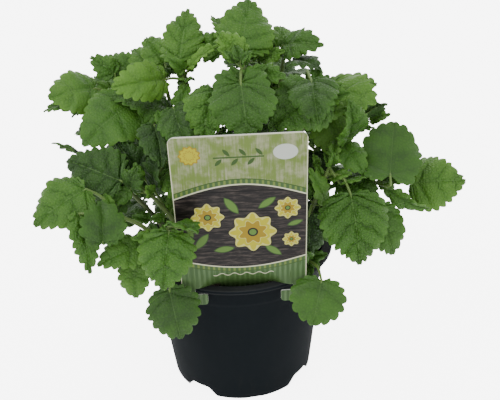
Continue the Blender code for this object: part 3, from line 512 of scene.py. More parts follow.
class Thicket:
    """Everything that stands already, which each new leaf is bent clear of."""

    def __init__(self, fixed):
        self.blades = list(fixed)
        self.stems = {shoot.name: BVHTree.FromPolygons(*stem_mesh(shoot)) for shoot in SHOOTS}
        self.stalks = {shoot.name: [] for shoot in SHOOTS}

    def settle(self, shoot, spec):
        """A leaf bent clear, with its stalk's line, or None where there is no room for it."""
        others = [tree for name, group in self.stalks.items() if name != shoot.name for tree in group]
        placed = settle_leaf(spec, self.blades + list(self.stems.values()) + others)
        if placed is None:
            return None
        far_stems = [tree for name, tree in self.stems.items() if name != shoot.name]
        path = settle_petiole(placed, stem_path(shoot), self.blades + far_stems + others)
        if path is None:
            return None
        self.blades.append(BVHTree.FromPolygons(*blade_mesh(placed)))
        stalk = tube(path, [PETIOLE_HALF] * len(path))
        self.stalks[shoot.name].append(BVHTree.FromPolygons(*stalk))
        return placed, path


def planned_leaves():
    """(shoot, leaf) in the order that they grow: the known ones first, then the pairs by rule."""
    dice = random.Random(SEED)
    plans = [(shoot, spec) for shoot in SHOOTS for spec in shoot.leaves]
    for shoot in SHOOTS:
        for spec in paired_leaves(shoot, stem_path(shoot), dice):
            plans.append((shoot, up_facing(spec)))
    return plans


# ---------------------------------------------------------------- shared shapes


def revolve(profile, sides):
    """Points and faces of a profile of (radius, height) turned about Z; zero radius closes it."""
    points, rows, faces = [], [], []
    for radius, height in profile:
        if radius == 0:
            rows.append([len(points)] * sides)
            points.append((0, 0, height))
            continue
        rows.append(range(len(points), len(points) + sides))
        for i in range(sides):
            turn = math.tau * i / sides
            points.append((radius * math.cos(turn), radius * math.sin(turn), height))
    for low, high in zip(rows, rows[1:]):
        for i in range(sides):
            j = (i + 1) % sides
            corners = [low[i], low[j], high[j], high[i]]
            faces.append(tuple(dict.fromkeys(corners)))
    return points, faces


def wall_radius(height):
    """The pot wall's outer radius at a height, below the stacking step or above it."""
    share = height / (POT_HEIGHT - LIP_DEPTH)
    step = 0 if height > STEP_HEIGHT else STEP_DEPTH
    taper = FOOT_RADIUS + STEP_DEPTH + (MOUTH_RADIUS - FOOT_RADIUS - STEP_DEPTH) * share
    return taper + BULGE * math.sin(math.pi * share) - step


def radial_bar(turn, stations, low, start, reach):
    """Points and faces of a bar that runs out from the middle, as (aside, top) across it."""
    points = []
    for aside, top in stations:
        end = math.sqrt(reach ** 2 - aside ** 2)
        points += [(start, aside, low), (start, aside, top), (end, aside, top), (end, aside, low)]
    turned = Matrix.Rotation(turn - math.pi / 2, 3, "Z")
    return [turned @ Vector(p) for p in points], bar_faces(len(stations))


def label_point(x, v, lift=0.0):
    """A point of the label: x across it, v up it from the tabs' lower edge, lift off its face."""
    fade = 1 - min(max((abs(x) - TONGUE_HALF) / (TAB_INSIDE - TONGUE_HALF), 0), 1)
    fade = fade * fade * (3 - 2 * fade)
    if v < SHOULDER and abs(x) > TONGUE_HALF + 1:
        fade = 0
    above = max(BEND_TOP - max(v, SHOULDER), 0)
    bend = BEND_DEPTH * (above / BEND_TOP) ** 2
    if v < SHOULDER:
        bend += (SHOULDER - v) * 2 * BEND_DEPTH * (BEND_TOP - SHOULDER) / BEND_TOP ** 2
    back = bend * fade
    return LABEL_FOOT + Vector((x, back - v * math.sin(LABEL_LEAN) - lift, v * math.cos(LABEL_LEAN)))


# ---------------------------------------------------------------- meshes and node trees


def put_object(name, points, edges, faces, materials):
    """An object from points in metres, with its place in its mesh."""
    mesh = bpy.data.meshes.new(name)
    mesh.from_pydata(points, edges, faces)
    for material in materials:
        mesh.materials.append(material)
    obj = bpy.data.objects.new(name, mesh)
    bpy.context.scene.collection.objects.link(obj)
    return obj


def put_mesh(name, points, faces, materials=()):
    """An object from points in millimetres."""
    return put_object(name, (np.asarray(points, float) * MM).tolist(), [], faces, materials)


def store(mesh, name, kind, values):
    """A value or vector for each of the mesh's points."""
    layer = mesh.attributes.new(name, kind, "POINT")
    field = "vector" if kind == "FLOAT_VECTOR" else "value"
    layer.data.foreach_set(field, np.asarray(values, np.float32).ravel())


def settle_modifiers(obj):
    """Turns the object's modifiers into plain mesh and takes them off."""
    view = bpy.context.evaluated_depsgraph_get()
    result = bpy.data.meshes.new_from_object(obj.evaluated_get(view), depsgraph=view)
    obj.modifiers.clear()
    old = obj.data
    obj.data = result
    bpy.data.meshes.remove(old)


def combine(obj, others, operation):
    """One Boolean of the object with a collection of others, which are then removed."""
    group = bpy.data.collections.new(obj.name + "_parts")
    bpy.context.scene.collection.children.link(group)
    for other in others:
        bpy.context.scene.collection.objects.unlink(other)
        group.objects.link(other)
    join = obj.modifiers.new("join", "BOOLEAN")
    join.operation = operation
    join.solver = "EXACT"
    join.operand_type = "COLLECTION"
    join.collection = group
    settle_modifiers(obj)
    for other in others:
        bpy.data.objects.remove(other)
    bpy.data.collections.remove(group)


def thicken(obj, thickness):
    """Gives a skin its thickness in metres, below it, with the second material on the lower side."""
    shell = obj.modifiers.new("thickness", "SOLIDIFY")
    shell.thickness = thickness
    shell.offset = -1
    shell.material_offset = 1
    return shell


def ease_edges(obj, width, degrees):
    """Rounds the edges that are sharper than the angle, by a width in millimetres."""
    ease = obj.modifiers.new("eased edges", "BEVEL")
    ease.width = width * MM
    ease.segments = 2
    ease.limit_method = "ANGLE"
    ease.angle_limit = math.radians(degrees)


def finish_piece(obj, degrees, node):
    """Shades a piece, smooth up to the angle, and hands it over: it rides on the plant, and stands
    for the node that it repeats."""
    obj.data.shade_smooth()
    obj.data.set_sharp_from_angle(angle=math.radians(degrees))
    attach(obj, BODY)
    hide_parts(node)


def add_node(tree, kind, inputs=None, **settings):
    """A new node. Its inputs go by name or number: a socket is linked, and a value is set."""
    node = tree.nodes.new(kind)
    for name, value in settings.items():
        setattr(node, name, value)
    for key, value in (inputs or {}).items():
        if isinstance(value, bpy.types.NodeSocket):
            tree.links.new(value, node.inputs[key])
        else:
            node.inputs[key].default_value = value
    return node


def fed_node(kind, inputs, **settings):
    """A new node in the tree of the first socket among its inputs."""
    source = next(value for value in inputs.values() if isinstance(value, bpy.types.NodeSocket))
    return add_node(source.id_data, kind, inputs, **settings)


def calc(operation, *values):
    """The result of a Math node."""
    return fed_node("ShaderNodeMath", dict(enumerate(values)), operation=operation).outputs[0]


def plus(first, second):
    return calc("ADD", first, second)


def minus(first, second):
    return calc("SUBTRACT", first, second)


def times(first, second):
    return calc("MULTIPLY", first, second)


def times_plus(first, second, third):
    return calc("MULTIPLY_ADD", first, second, third)


def vector_calc(operation, inputs):
    """The outputs of a Vector Math node."""
    return fed_node("ShaderNodeVectorMath", inputs, operation=operation).outputs


def step(value, low, high):
    """0 at low and 1 at high, smooth between them. Low may be the greater."""
    places = {"Value": value, "From Min": low, "From Max": high}
    node = fed_node("ShaderNodeMapRange", places, interpolation_type="SMOOTHSTEP")
    return node.outputs["Result"]


def blend(factor, first, second):
    """A mix of two colours."""
    return fed_node("ShaderNodeMix", {0: factor, 6: first, 7: second}, data_type="RGBA").outputs[2]


def split(vector):
    """The three numbers of a vector."""
    return fed_node("ShaderNodeSeparateXYZ", {0: vector}).outputs


def gather(x, y, z=0.0):
    """A vector of three numbers."""
    return fed_node("ShaderNodeCombineXYZ", {0: x, 1: y, 2: z}).outputs[0]


def noise(vector, scale, detail=2.0, roughness=0.5):
    """A noise value about one half."""
    inputs = {"Vector": vector, "Scale": scale, "Detail": detail, "Roughness": roughness}
    return fed_node("ShaderNodeTexNoise", inputs).outputs[0]


def attribute(tree, name):
    """A vector that the mesh carries, in a material's tree or a modifier's."""
    if tree.type == "GEOMETRY":
        node = add_node(tree, "GeometryNodeInputNamedAttribute", data_type="FLOAT_VECTOR")
        node.inputs["Name"].default_value = name
        return node.outputs["Attribute"]
    return add_node(tree, "ShaderNodeAttribute", attribute_name=name).outputs["Vector"]


def own_place(tree):
    """The place on the object, in metres."""
    return add_node(tree, "ShaderNodeTexCoord").outputs["Object"]


def stretched(vector, x, y, z):
    """A vector scaled along each axis."""
    return vector_calc("MULTIPLY", {0: vector, 1: (x, y, z)})[0]


def new_group(name, kind, inputs, outputs):
    """An empty node group with sockets given as (name, kind[, default]), its ends and its tree."""
    tree = bpy.data.node_groups.new(name, kind)
    for socket in inputs:
        made = tree.interface.new_socket(name=socket[0], in_out="INPUT", socket_type=socket[1])
        if len(socket) > 2:
            made.default_value = socket[2]
    for socket in outputs:
        tree.interface.new_socket(name=socket[0], in_out="OUTPUT", socket_type=socket[1])
    start = tree.nodes.new("NodeGroupInput")
    end = tree.nodes.new("NodeGroupOutput")
    return tree, start.outputs, end.inputs


def new_modifier_tree(name, numbers, materials=()):
    """An empty Geometry Nodes tree from a mesh to a mesh, with its inputs' names."""
    mesh = [("Geometry", "NodeSocketGeometry")]
    inputs = mesh + [(each, "NodeSocketFloat") for each in numbers]
    inputs += [(each, "NodeSocketMaterial") for each in materials]
    return new_group(name, "GeometryNodeTree", inputs, mesh)


def move_points(geometry, offset):
    """A geometry with its points moved."""
    return fed_node("GeometryNodeSetPosition", {"Geometry": geometry, "Offset": offset}).outputs[0]


def clad(geometry, material):
    """A geometry with a material on it."""
    clothes = {"Geometry": geometry, "Material": material}
    return fed_node("GeometryNodeSetMaterial", clothes).outputs[0]


def join_all(geometries):
    """Several geometries as one."""
    tree = geometries[0].id_data
    node = tree.nodes.new("GeometryNodeJoinGeometry")
    for geometry in geometries:
        tree.links.new(geometry, node.inputs[0])
    return node.outputs[0]


def strew(spots, shape, turn, size):
    """A shape at each of the spots, as plain mesh."""
    inputs = {"Points": spots, "Instance": shape, "Rotation": turn, "Scale": size}
    shapes = fed_node("GeometryNodeInstanceOnPoints", inputs).outputs[0]
    return fed_node("GeometryNodeRealizeInstances", {"Geometry": shapes}).outputs[0]


def some_number(tree, low, high, seed):
    """A random number for each shape."""
    inputs = {2: low, 3: high, "Seed": seed}
    return add_node(tree, "FunctionNodeRandomValue", inputs, data_type="FLOAT").outputs[1]


def new_material(name, roughness, **constants):
    """A material with its Principled surface, and the constants set on the surface's own sockets."""
    material = bpy.data.materials.new(name)
    material.use_nodes = True
    surface = material.node_tree.nodes["Principled BSDF"]
    surface.inputs["Roughness"].default_value = roughness
    for key, value in constants.items():
        surface.inputs[key.replace("_", " ")].default_value = value
    return material, material.node_tree, surface


def connect(surface, **sockets):
    """Links values to a shader's sockets, whose names have _ for a space here."""
    for key, value in sockets.items():
        surface.id_data.links.new(value, surface.inputs[key.replace("_", " ")])


def bump(strength, distance, height):
    """The normal of a bump, with its distance in metres."""
    inputs = {"Strength": strength, "Distance": distance, "Height": height}
    return fed_node("ShaderNodeBump", inputs).outputs[0]


def add_modifier(obj, tree, values):
    """A Geometry Nodes modifier with its inputs set by name before it is first evaluated."""
    modifier = obj.modifiers.new(tree.name, "NODES")
    modifier.node_group = tree
    for item in tree.interface.items_tree:
        if item.in_out == "INPUT" and item.name in values:
            modifier[item.identifier] = values[item.name]


# ---------------------------------------------------------------- settings


def colour_setting(name, description, default):
    return FloatVectorProperty(name=name, description=description, default=default,
                               size=4, min=0, max=1, subtype="COLOR")


def number_setting(name, description, default, **kind):
    return FloatProperty(name=name, description=description, default=default, min=0, **kind)


def length_setting(name, description, default):
    return number_setting(name, description, default, precision=5, subtype="DISTANCE", unit="LENGTH")


def power_setting(name, description, default):
    return number_setting(name, description, default, subtype="POWER", unit="POWER")


class LeafSettings(bpy.types.PropertyGroup):
    dark: colour_setting("Dark green", "Old and shaded leaves", (0.0140, 0.041, 0.0080, 1))
    middle: colour_setting("Middle green", "Most leaves", (0.052, 0.142, 0.0150, 1))
    bright: colour_setting("Bright green", "Young leaves", (0.118, 0.262, 0.0300, 1))
    veins: colour_setting("Veins", "Midribs and side veins", (0.135, 0.260, 0.070, 1))
    under: colour_setting("Underside", "Lower faces of the leaves", (0.085, 0.170, 0.055, 1))
    thickness: length_setting("Thickness", "Thickness of a blade", 0.00035)
    quilt: length_setting("Quilting", "Height of the swellings between side veins", 0.0008)
    net: length_setting("Net", "Height of the small swellings between the finest veins", 0.00034)
    net_size: length_setting("Net size", "Width of a mesh of the finest veins", 0.0019)
    groove: length_setting("Groove", "Depth of the midrib's groove", 0.00035)


class StemSettings(bpy.types.PropertyGroup):
    young: colour_setting("Young stem", "Leaf stalks and stem tips", (0.115, 0.200, 0.036, 1))
    old: colour_setting("Old stem", "Stems near the soil", (0.085, 0.110, 0.035, 1))
    hair: colour_setting("Hairs", "Fine hairs on the stems", (0.52, 0.60, 0.42, 1))
    hair_length: length_setting("Hair length", "Length of the longest hairs", 0.0007)
    hair_density: number_setting("Hair density", "Hairs on a square metre", 130000)


class PotSettings(bpy.types.PropertyGroup):
    plastic: colour_setting("Plastic", "The pot's own black", (0.0064, 0.0090, 0.0110, 1))
    dust: colour_setting("Dust", "Dust and dried soil low on the pot", (0.020, 0.020, 0.019, 1))
    # Painted highlight: lightens the lip's top, partly rubbing and partly painted light, and a line on the
    # lip's lower edge.
    rubbed: colour_setting("Rubbed and lit edges", "The lip's top and edges", (0.030, 0.032, 0.033, 1))
    sides: IntProperty(name="Sides", description="Facets round the pot", default=144, min=24)


class LabelSettings(bpy.types.PropertyGroup):
    ground: colour_setting("Ground", "Pale upper field", (0.31, 0.32, 0.195, 1))
    streak: colour_setting("Streaks", "Streaks in the upper field", (0.140, 0.205, 0.045, 1))
    stripe: colour_setting("Lower field", "Striped lower field", (0.052, 0.104, 0.034, 1))
    stripe_light: colour_setting("Lower stripes", "Stripes in the lower field", (0.098, 0.170, 0.066, 1))
    line: colour_setting("Line", "Cream edge and outlines", (0.60, 0.61, 0.42, 1))
    panel: colour_setting("Panel", "Dark board", (0.011, 0.009, 0.009, 1))
    panel_grain: colour_setting("Panel grain", "Grain of the board", (0.085, 0.068, 0.058, 1))
    yellow: colour_setting("Yellow", "Petals", (0.42, 0.38, 0.020, 1))
    flower_edge: colour_setting("Petal edges", "Pale edges of the petals", (0.52, 0.50, 0.14, 1))
    flower_heart: colour_setting("Flower hearts", "Inner petals", (0.29, 0.20, 0.012, 1))
    leaf: colour_setting("Leaf", "Drawn leaves", (0.095, 0.190, 0.035, 1))
    leaf_dark: colour_setting("Dark leaf", "Outlines of leaves and of the board", (0.040, 0.085, 0.018, 1))
    badge: colour_setting("Oval", "The empty oval", (0.50, 0.53, 0.47, 1))
    back: colour_setting("Back", "Bare plastic of the back and the edges", (0.62, 0.63, 0.57, 1))


class SoilSettings(bpy.types.PropertyGroup):
    peat: colour_setting("Peat", "The soil itself", (0.026, 0.017, 0.011, 1))
    bark: colour_setting("Bark", "Lighter crumbs and fibres", (0.080, 0.050, 0.028, 1))
    grit: colour_setting("Grit", "Pale grains", (0.55, 0.53, 0.48, 1))
    crumb: length_setting("Crumb", "Radius of a middling crumb", 0.0011)
    density: number_setting("Crumbs", "Crumbs on a square metre", 260000)


class StageSettings(bpy.types.PropertyGroup):
    floor: colour_setting("Floor", "Floor and backdrop", (0.92, 0.92, 0.92, 1))
    glow: number_setting("Glow", "How much the floor is lit through", 0.5)
    seen_glow: number_setting("Seen glow", "Glow that lights nothing", 6.0)
    key: power_setting("Key light", "Power of the main light", 6.8)
    fill: power_setting("Fill light", "Power of the side light and of the one behind", 2.2)
    sky: number_setting("Sky", "Strength of the even light", 0.98)


# ---------------------------------------------------------------- leaves

# Teeth: a tooth's outline at even steps from notch to notch, on a round and on a sharp blade.
# Pitch, its lessening on a sharp blade, and the length below which a leaf is small are in mm.
TOOTH_STEPS = 6
TOOTH_PEAK = 4 / TOOTH_STEPS
TOOTH_X = tuple(k / TOOTH_STEPS for k in range(TOOTH_STEPS + 1))
ROUND_TOOTH = (0, 0.60, 0.88, 0.99, 1.0, 0.84, 0)
SHARP_TOOTH = (0, 0.42, 0.72, 0.91, 1.0, 0.62, 0)
TOOTH_PITCH = 6.4
TOOTH_SHARPER = 1.7
FEWEST_TEETH = 4
ROUND_DEPTH = 0.31
SHARP_DEPTH = 0.40
TOOTH_OUT = 0.35
TOOTH_SIZES = (0.55, 1.35)
TOOTH_WAVES = (1, 4, 7, 11)
TOOTH_UNEVEN = 0.22
SMALL_LEAF = 18.0

# The blade: its fullness, frilled edge and curled tip, and the mesh that it is made of.
FULLEST = 0.42
HIGHER = 0.35
DEEP_HEART = 0.1
EDGE_MARKS = 24
EDGE_STEPS = 160
VEIN_SLANT = 0.62
BASE_SOFTNESS = 14.0
FRILL = 0.022
LONG_FRILL = 13
SHORT_FRILL = 27
FRILL_MIX = 0.7
EDGE_FADE = 8
FOOT_FADE = 20
CURL_START = 0.55
MOST_CURL = 0.07
MOST_TAPER = 0.20
ROUND_BREADTH = 0.95
BLADE_COLUMNS = 9
YOUNG_COLUMNS = 4

# Veins: where each mask is 0 and where it is 1. The midrib's and the nearness to it are in mm.
RIB_MASK = (0.46, 0.10)
VEIN_MASK = (0.17, 0.0)
VEIN_WANDER = 0.55
VEIN_FADE = 0.65
DOME_MASK = (0.0, 0.95)
DOME_FROM_RIB = (0.0, 3.0)
NET_MASK = (0.13, 0.0)
SWELLING_MASK = (0.0, 0.42)

# Small young leaves: the sizes of the outer and the inner pair at a tip, of those at a knot, and
# of the further pairs low on a stem, in mm, and how high up a stem there are pairs at its knots.
TIP_PAIRS = ((10, 14), (6, 8))
KNOT_PAIR = (8, 14)
LOW_PAIR = (16, 24)
KNOTS_END = 0.93
YOUNG_ARCH = 0.10

# How near, and for what share of its points, a leaf has to lie to its solid.
MATCH_MM = 0.05
MATCH_SHARE = 0.6

# How bright and yellow each known leaf is, from 0, old and dark, to 1, young: partly the leaf's
# own age and colour, and partly painted shade and light, darker for leaves that lie in shade. The
# order is the plan's. A shoot that isn't named here, and a leaf that grows by the rule, draws its own.
TONES = {
    "shoot_front_centre": (0.36, 0.55, 0.80, 0.45),
    "shoot_top_centre": (0.55, 0.55, 0.65, 0.62),
    "shoot_top_right": (0.42, 0.15, 0.62),
    "shoot_front_right": (0.40, 0.25, 0.30, 0.45, 0.05),
    "shoot_right": (0.72, 0.70, 0.45, 0.50, 0.85),
    "shoot_low_right": (0.42, 0.50, 0.45, 0.10, 0.62),
    "shoot_far_right": (0.66, 0.31, 0.55, 0.45, 0.05),
    "shoot_rim_right": (0.37, 0.45),
    "shoot_upper_left": (0.62, 0.85, 0.85, 0.60),
    "shoot_high_left": (0.62, 0.62, 0.50),
    "shoot_left_back": (0.64, 0.50, 0.45),
    "shoot_left": (0.50, 0.20, 0.35, 0.08),
    "shoot_inner_left": (0.25, 0.12, 0.10, 0.62),
    "shoot_mid_left": (0.20, 0.30, 0.20, 0.08),
    "shoot_low_left": (0.54, 0.50, 0.26, 0.55, 0.60),
    "shoot_rim_left": (0.52, 0.45, 0.22),
}

# How deep the veins lie and how sharp the teeth are, from 0, smooth and round, upwards, in the
# same order. The other leaves draw their own.
RUGGED = {
    "shoot_front_centre": (0.9, 1.4, 1.0, 0.9),
    "shoot_top_centre": (0.9, 1.0, 1.0, 1.0),
    "shoot_front_right": (1.1, 0.9, 1.0, 1.0, 1.0),
    "shoot_right": (0.7, 0.7, 1.0, 0.6, 0.5),
    "shoot_low_right": (1.5, 1.0, 0.8, 1.0, 0.4),
    "shoot_far_right": (1.0, 0.15, 0.6, 0.6, 1.0),
    "shoot_rim_right": (0.35, 0.6),
    "shoot_upper_left": (1.0, 0.5, 0.7, 0.7),
    "shoot_high_left": (0.8, 0.9, 0.9),
    "shoot_left_back": (0.6, 1.0, 0.8),
    "shoot_left": (0.6, 1.0, 1.0, 1.0),
    "shoot_mid_left": (1.0, 0.6, 1.0, 1.0),
    "shoot_low_left": (0.9, 0.9, 0.4, 0.8, 0.6),
    "shoot_rim_left": (1.1, 1.0, 0.5),
}

# Where along the inner stems further pairs of small leaves grow, most of them low down.
LOW_PAIRS = {
    "shoot_middle": (0.30, 0.48, 0.88),
    "shoot_middle_right": (0.30, 0.48),
    "shoot_front_right": (0.74,),
    "shoot_back": (0.18, 0.30),
    "shoot_back_left": (0.22, 0.32),
    "shoot_back_right": (0.20, 0.32),
    "shoot_low_back": (0.35, 0.50),
    "shoot_inner_left": (0.25, 0.40),
    "shoot_mid_left": (0.28,),
    "shoot_side_right": (0.24,),
    "shoot_side_left": (0.24,),
}

VEIN_FIELDS = ("Rib", "Side Vein", "Net", "Dome", "Swelling", "Inside", "Share")


def vein_fields(tree, net_size):
    """Masks from a blade's own coordinates, by name: midrib, side veins, net, the swellings
    between, and how far in and how far across the blade a place is."""
    across, along, seed = split(attribute(tree, "plan"))
    share, row, inside = split(attribute(tree, "veins"))
    off_rib = calc("ABSOLUTE", across)
    rib = step(off_rib, *RIB_MASK)
    shifted = gather(plus(across, seed), along)
    wandering = times_plus(noise(shifted, 0.3, 1.0), VEIN_WANDER, row)
    side = calc("ABSOLUTE", calc("SINE", times(wandering, math.pi)))
    reach = minus(1.0, times(share, VEIN_FADE))
    side_vein = times(step(side, *VEIN_MASK), reach)
    dome = times(step(side, *DOME_MASK), step(off_rib, *DOME_FROM_RIB))
    bent = fed_node("ShaderNodeTexNoise", {"Vector": shifted, "Scale": 0.35}).outputs[1]
    swirl = vector_calc("ADD", {0: bent, 1: shifted})[0]
    cells = {"Vector": swirl, "Scale": calc("DIVIDE", 1.0, net_size), "Randomness": 0.85}
    mesh = fed_node("ShaderNodeTexVoronoi", cells, voronoi_dimensions="2D",
                    feature="DISTANCE_TO_EDGE").outputs["Distance"]
    net = step(mesh, *NET_MASK)
    swelling = step(mesh, *SWELLING_MASK)
    return dict(zip(VEIN_FIELDS, (rib, side_vein, net, dome, swelling, inside, share)))


def make_relief():
    """Geometry Nodes: raises the quilting and the net of a blade, and sinks its midrib."""
    tree, inputs, outputs = new_modifier_tree("leaf relief", ("Quilt", "Net", "Net Size", "Groove"))
    masks = vein_fields(tree, calc("DIVIDE", inputs["Net Size"], MM))
    rise = times(masks["Dome"], inputs["Quilt"])
    rise = times_plus(masks["Swelling"], inputs["Net"], rise)
    rise = times(rise, masks["Inside"])
    rise = minus(rise, times(masks["Rib"], inputs["Groove"]))
    normal = add_node(tree, "GeometryNodeInputNormal").outputs[0]
    offset = vector_calc("SCALE", {0: normal, "Scale": rise})[0]
    tree.links.new(move_points(inputs["Geometry"], offset), outputs["Geometry"])
    return tree


def make_vein_group(looks):
    """Shader group: the blade's masks, for both faces of a leaf."""
    tree, inputs, outputs = new_group(
        "leaf veins", "ShaderNodeTree", [("Net Size", "NodeSocketFloat", looks.net_size / MM)],
        [(name, "NodeSocketFloat") for name in VEIN_FIELDS])
    for name, mask in vein_fields(tree, inputs["Net Size"]).items():
        tree.links.new(mask, outputs[name])
    return tree


def leaf_colours(tree, looks, masks):
    """Green by the leaf's tone and mottling, pale at the midrib, with painted light on the swellings
    and painted shade along the side veins and net.
    """
    tone = split(attribute(tree, "tone"))[0]
    place = own_place(tree)
    cloud = noise(place, 90.0, 3.0)
    fine = noise(place, 700.0, 2.0)
    level = times_plus(cloud, 0.36, minus(tone, 0.18))
    level = times_plus(fine, 0.14, minus(level, 0.07))
    # Painted light: the domes and swellings between the veins are made lighter.
    level = times_plus(masks["Dome"], 0.08, level)
    level = times_plus(masks["Swelling"], 0.06, level)
    level = times_plus(calc("POWER", masks["Share"], 6.0), 0.16, minus(level, 0.08))
    ramp = fed_node("ShaderNodeValToRGB", {0: level})
    stops = ramp.color_ramp.elements
    stops[0].color = looks.dark
    stops[1].color = looks.bright
    stops.new(0.5).color = looks.middle
    green = ramp.outputs[0]
    # Painted shade: the sunken side veins and net are darkened, more where the relief is deeper.
    deep = calc("MINIMUM", masks["Inside"], 1.4)
    for mask, share in (("Side Vein", 0.40), ("Net", 0.15)):
        green = blend(times(times(masks[mask], deep), share), green, looks.dark)
    return blend(times(masks["Rib"], times_plus(deep, 0.24, 0.10)), green, looks.veins)


def relief_bump(tree, masks, way):
    """A bump of the same veins, and the skin's fine grain."""
    height = times_plus(masks["Swelling"], 0.55, masks["Dome"])
    height = minus(height, times(masks["Side Vein"], 0.6))
    grain = noise(own_place(tree), 2600.0, 2.0)
    height = times(times(height, masks["Inside"]), way)
    return bump(0.8, 0.0006, times_plus(grain, 0.22, height))


def leaf_surface(name, roughness, specular, looks, group):
    """A leaf's material, its tree and surface, the blade's masks and the leaf's green."""
    material, tree, surface = new_material(
        name, roughness, Specular_IOR_Level=specular, Subsurface_Weight=0.10,
        Subsurface_Scale=0.0006, Subsurface_Radius=(0.5, 1.0, 0.2))
    masks = add_node(tree, "ShaderNodeGroup", node_tree=group).outputs
    return material, tree, surface, masks, leaf_colours(tree, looks, masks)


def upper_material(looks, group):
    material, tree, surface, masks, green = leaf_surface("leaf upper", 0.5, 0.28, looks, group)
    matt = times_plus(masks["Net"], 0.10, 0.36)
    matt = times_plus(noise(own_place(tree), 320.0), 0.16, matt)
    connect(surface, Base_Color=green, Roughness=matt, Normal=relief_bump(tree, masks, 1.0))
    return material


def underside_material(looks, group):
    material, tree, surface, masks, green = leaf_surface("leaf underside", 0.62, 0.2, looks, group)
    green = blend(0.62, green, looks.under)
    green = blend(times(masks["Side Vein"], 0.4), green, looks.veins)
    connect(surface, Base_Color=green, Normal=relief_bump(tree, masks, -1.0))
    return material


def edge_line(spec, length, half, sharp):
    """The smooth edge of half a blade as rows of (t, share), and the run of its length in mm."""
    fullness = 1 - FULLEST * (1 - sharp)
    higher = 1 + HIGHER * (1 - sharp)
    heart = spec.heart * (2 - sharp)
    marks = [(-heart, 0.26, 0)]
    first = 0.0
    if heart > DEEP_HEART:
        marks.append((-0.7 * heart, 0.72, 0))
        first = 0.1
    marks += [(t, half_breadth(t ** higher) ** fullness, 0) for t in np.linspace(first, 1, EDGE_MARKS)]
    line = np.array([tuple(point)[:2] for point in smooth_path(marks, EDGE_STEPS)])
    steps = np.hypot(np.diff(line[:, 0]) * length, np.diff(line[:, 1]) * half)
    return line, np.concatenate(([0.0], np.cumsum(steps)))


def toothed_edge(line, run, length, half, teeth, sharp, dice):
    """The edge cut into teeth that lean to the point, as t and share at each step."""
    steps = teeth * TOOTH_STEPS
    w = np.arange(steps + 1) / steps
    shifted = w.copy()
    for waves in TOOTH_WAVES:
        turn = math.pi * waves
        shifted += TOOTH_UNEVEN / turn * dice.uniform(-1, 1) * np.sin(turn * w)
    t = np.interp(shifted * run[-1], run, line[:, 0])
    share = np.interp(shifted * run[-1], run, line[:, 1])
    ahead = np.stack((np.gradient(t) * length, np.gradient(share) * half))
    ahead /= np.maximum(np.hypot(*ahead), 1e-9)
    phase = w * teeth + TOOTH_PEAK
    sizes = np.array([dice.uniform(*TOOTH_SIZES) for tooth in range(teeth + 2)])
    deep = (ROUND_DEPTH + (SHARP_DEPTH - ROUND_DEPTH) * sharp) * min(length / SMALL_LEAF, 1)
    depth = deep * run[-1] / teeth * sizes[phase.astype(int)] * np.clip(w / 0.1, 0, 1)
    shape = np.array(ROUND_TOOTH) * (1 - sharp) + np.array(SHARP_TOOTH) * sharp
    cut = depth * (1 - TOOTH_OUT - np.interp(phase % 1, TOOTH_X, shape))
    t = t + cut * ahead[1] / length
    share = share - cut * ahead[0] / half
    t[-1], share[-1] = 1, 0
    return t, np.maximum(share, 0)


def blade_skin(spec, axes, t, share, lift=0.0):
    """Points of a blade for arrays of t and share: blade_place()'s form, its tip a little curled."""
    length, along, across, out = axes
    along, across, out = (np.array(each)[None, :] for each in (along, across, out))
    t, share = np.asarray(t, float)[:, None], np.asarray(share, float)[:, None]
    half = length * spec.wide / 2
    fold = math.radians(spec.fold)
    turn = math.radians(spec.twist) * (t - WIDEST)
    side = across * np.cos(turn) + out * np.sin(turn)
    face = out * np.cos(turn) - across * np.sin(turn)
    reach = np.abs(share) * half
    rise = reach * math.sin(fold) - CUP * reach * reach / half
    rise = rise + RIPPLE * length * np.sin(RIPPLE_TURNS * t + np.copysign(2, share)) * share * share
    rise = rise + spec.arch * length * 4 * np.maximum(t, 0) * (1 - t)
    habit = random.Random(str(spec.tip))
    curl = habit.uniform(-0.2, 1) * MOST_CURL
    taper = habit.uniform(0, 1) * MOST_TAPER * (spec.wide < ROUND_BREADTH)
    rise = rise - curl * length * (np.maximum(t - CURL_START, 0) / (1 - CURL_START)) ** 2
    share = share * (1 - taper * np.clip(t, 0, 1) ** 2)
    place = np.array(spec.base)[None, :] + along * (t * length)
    return place + side * (share * half * math.cos(fold)) + face * (rise + lift)


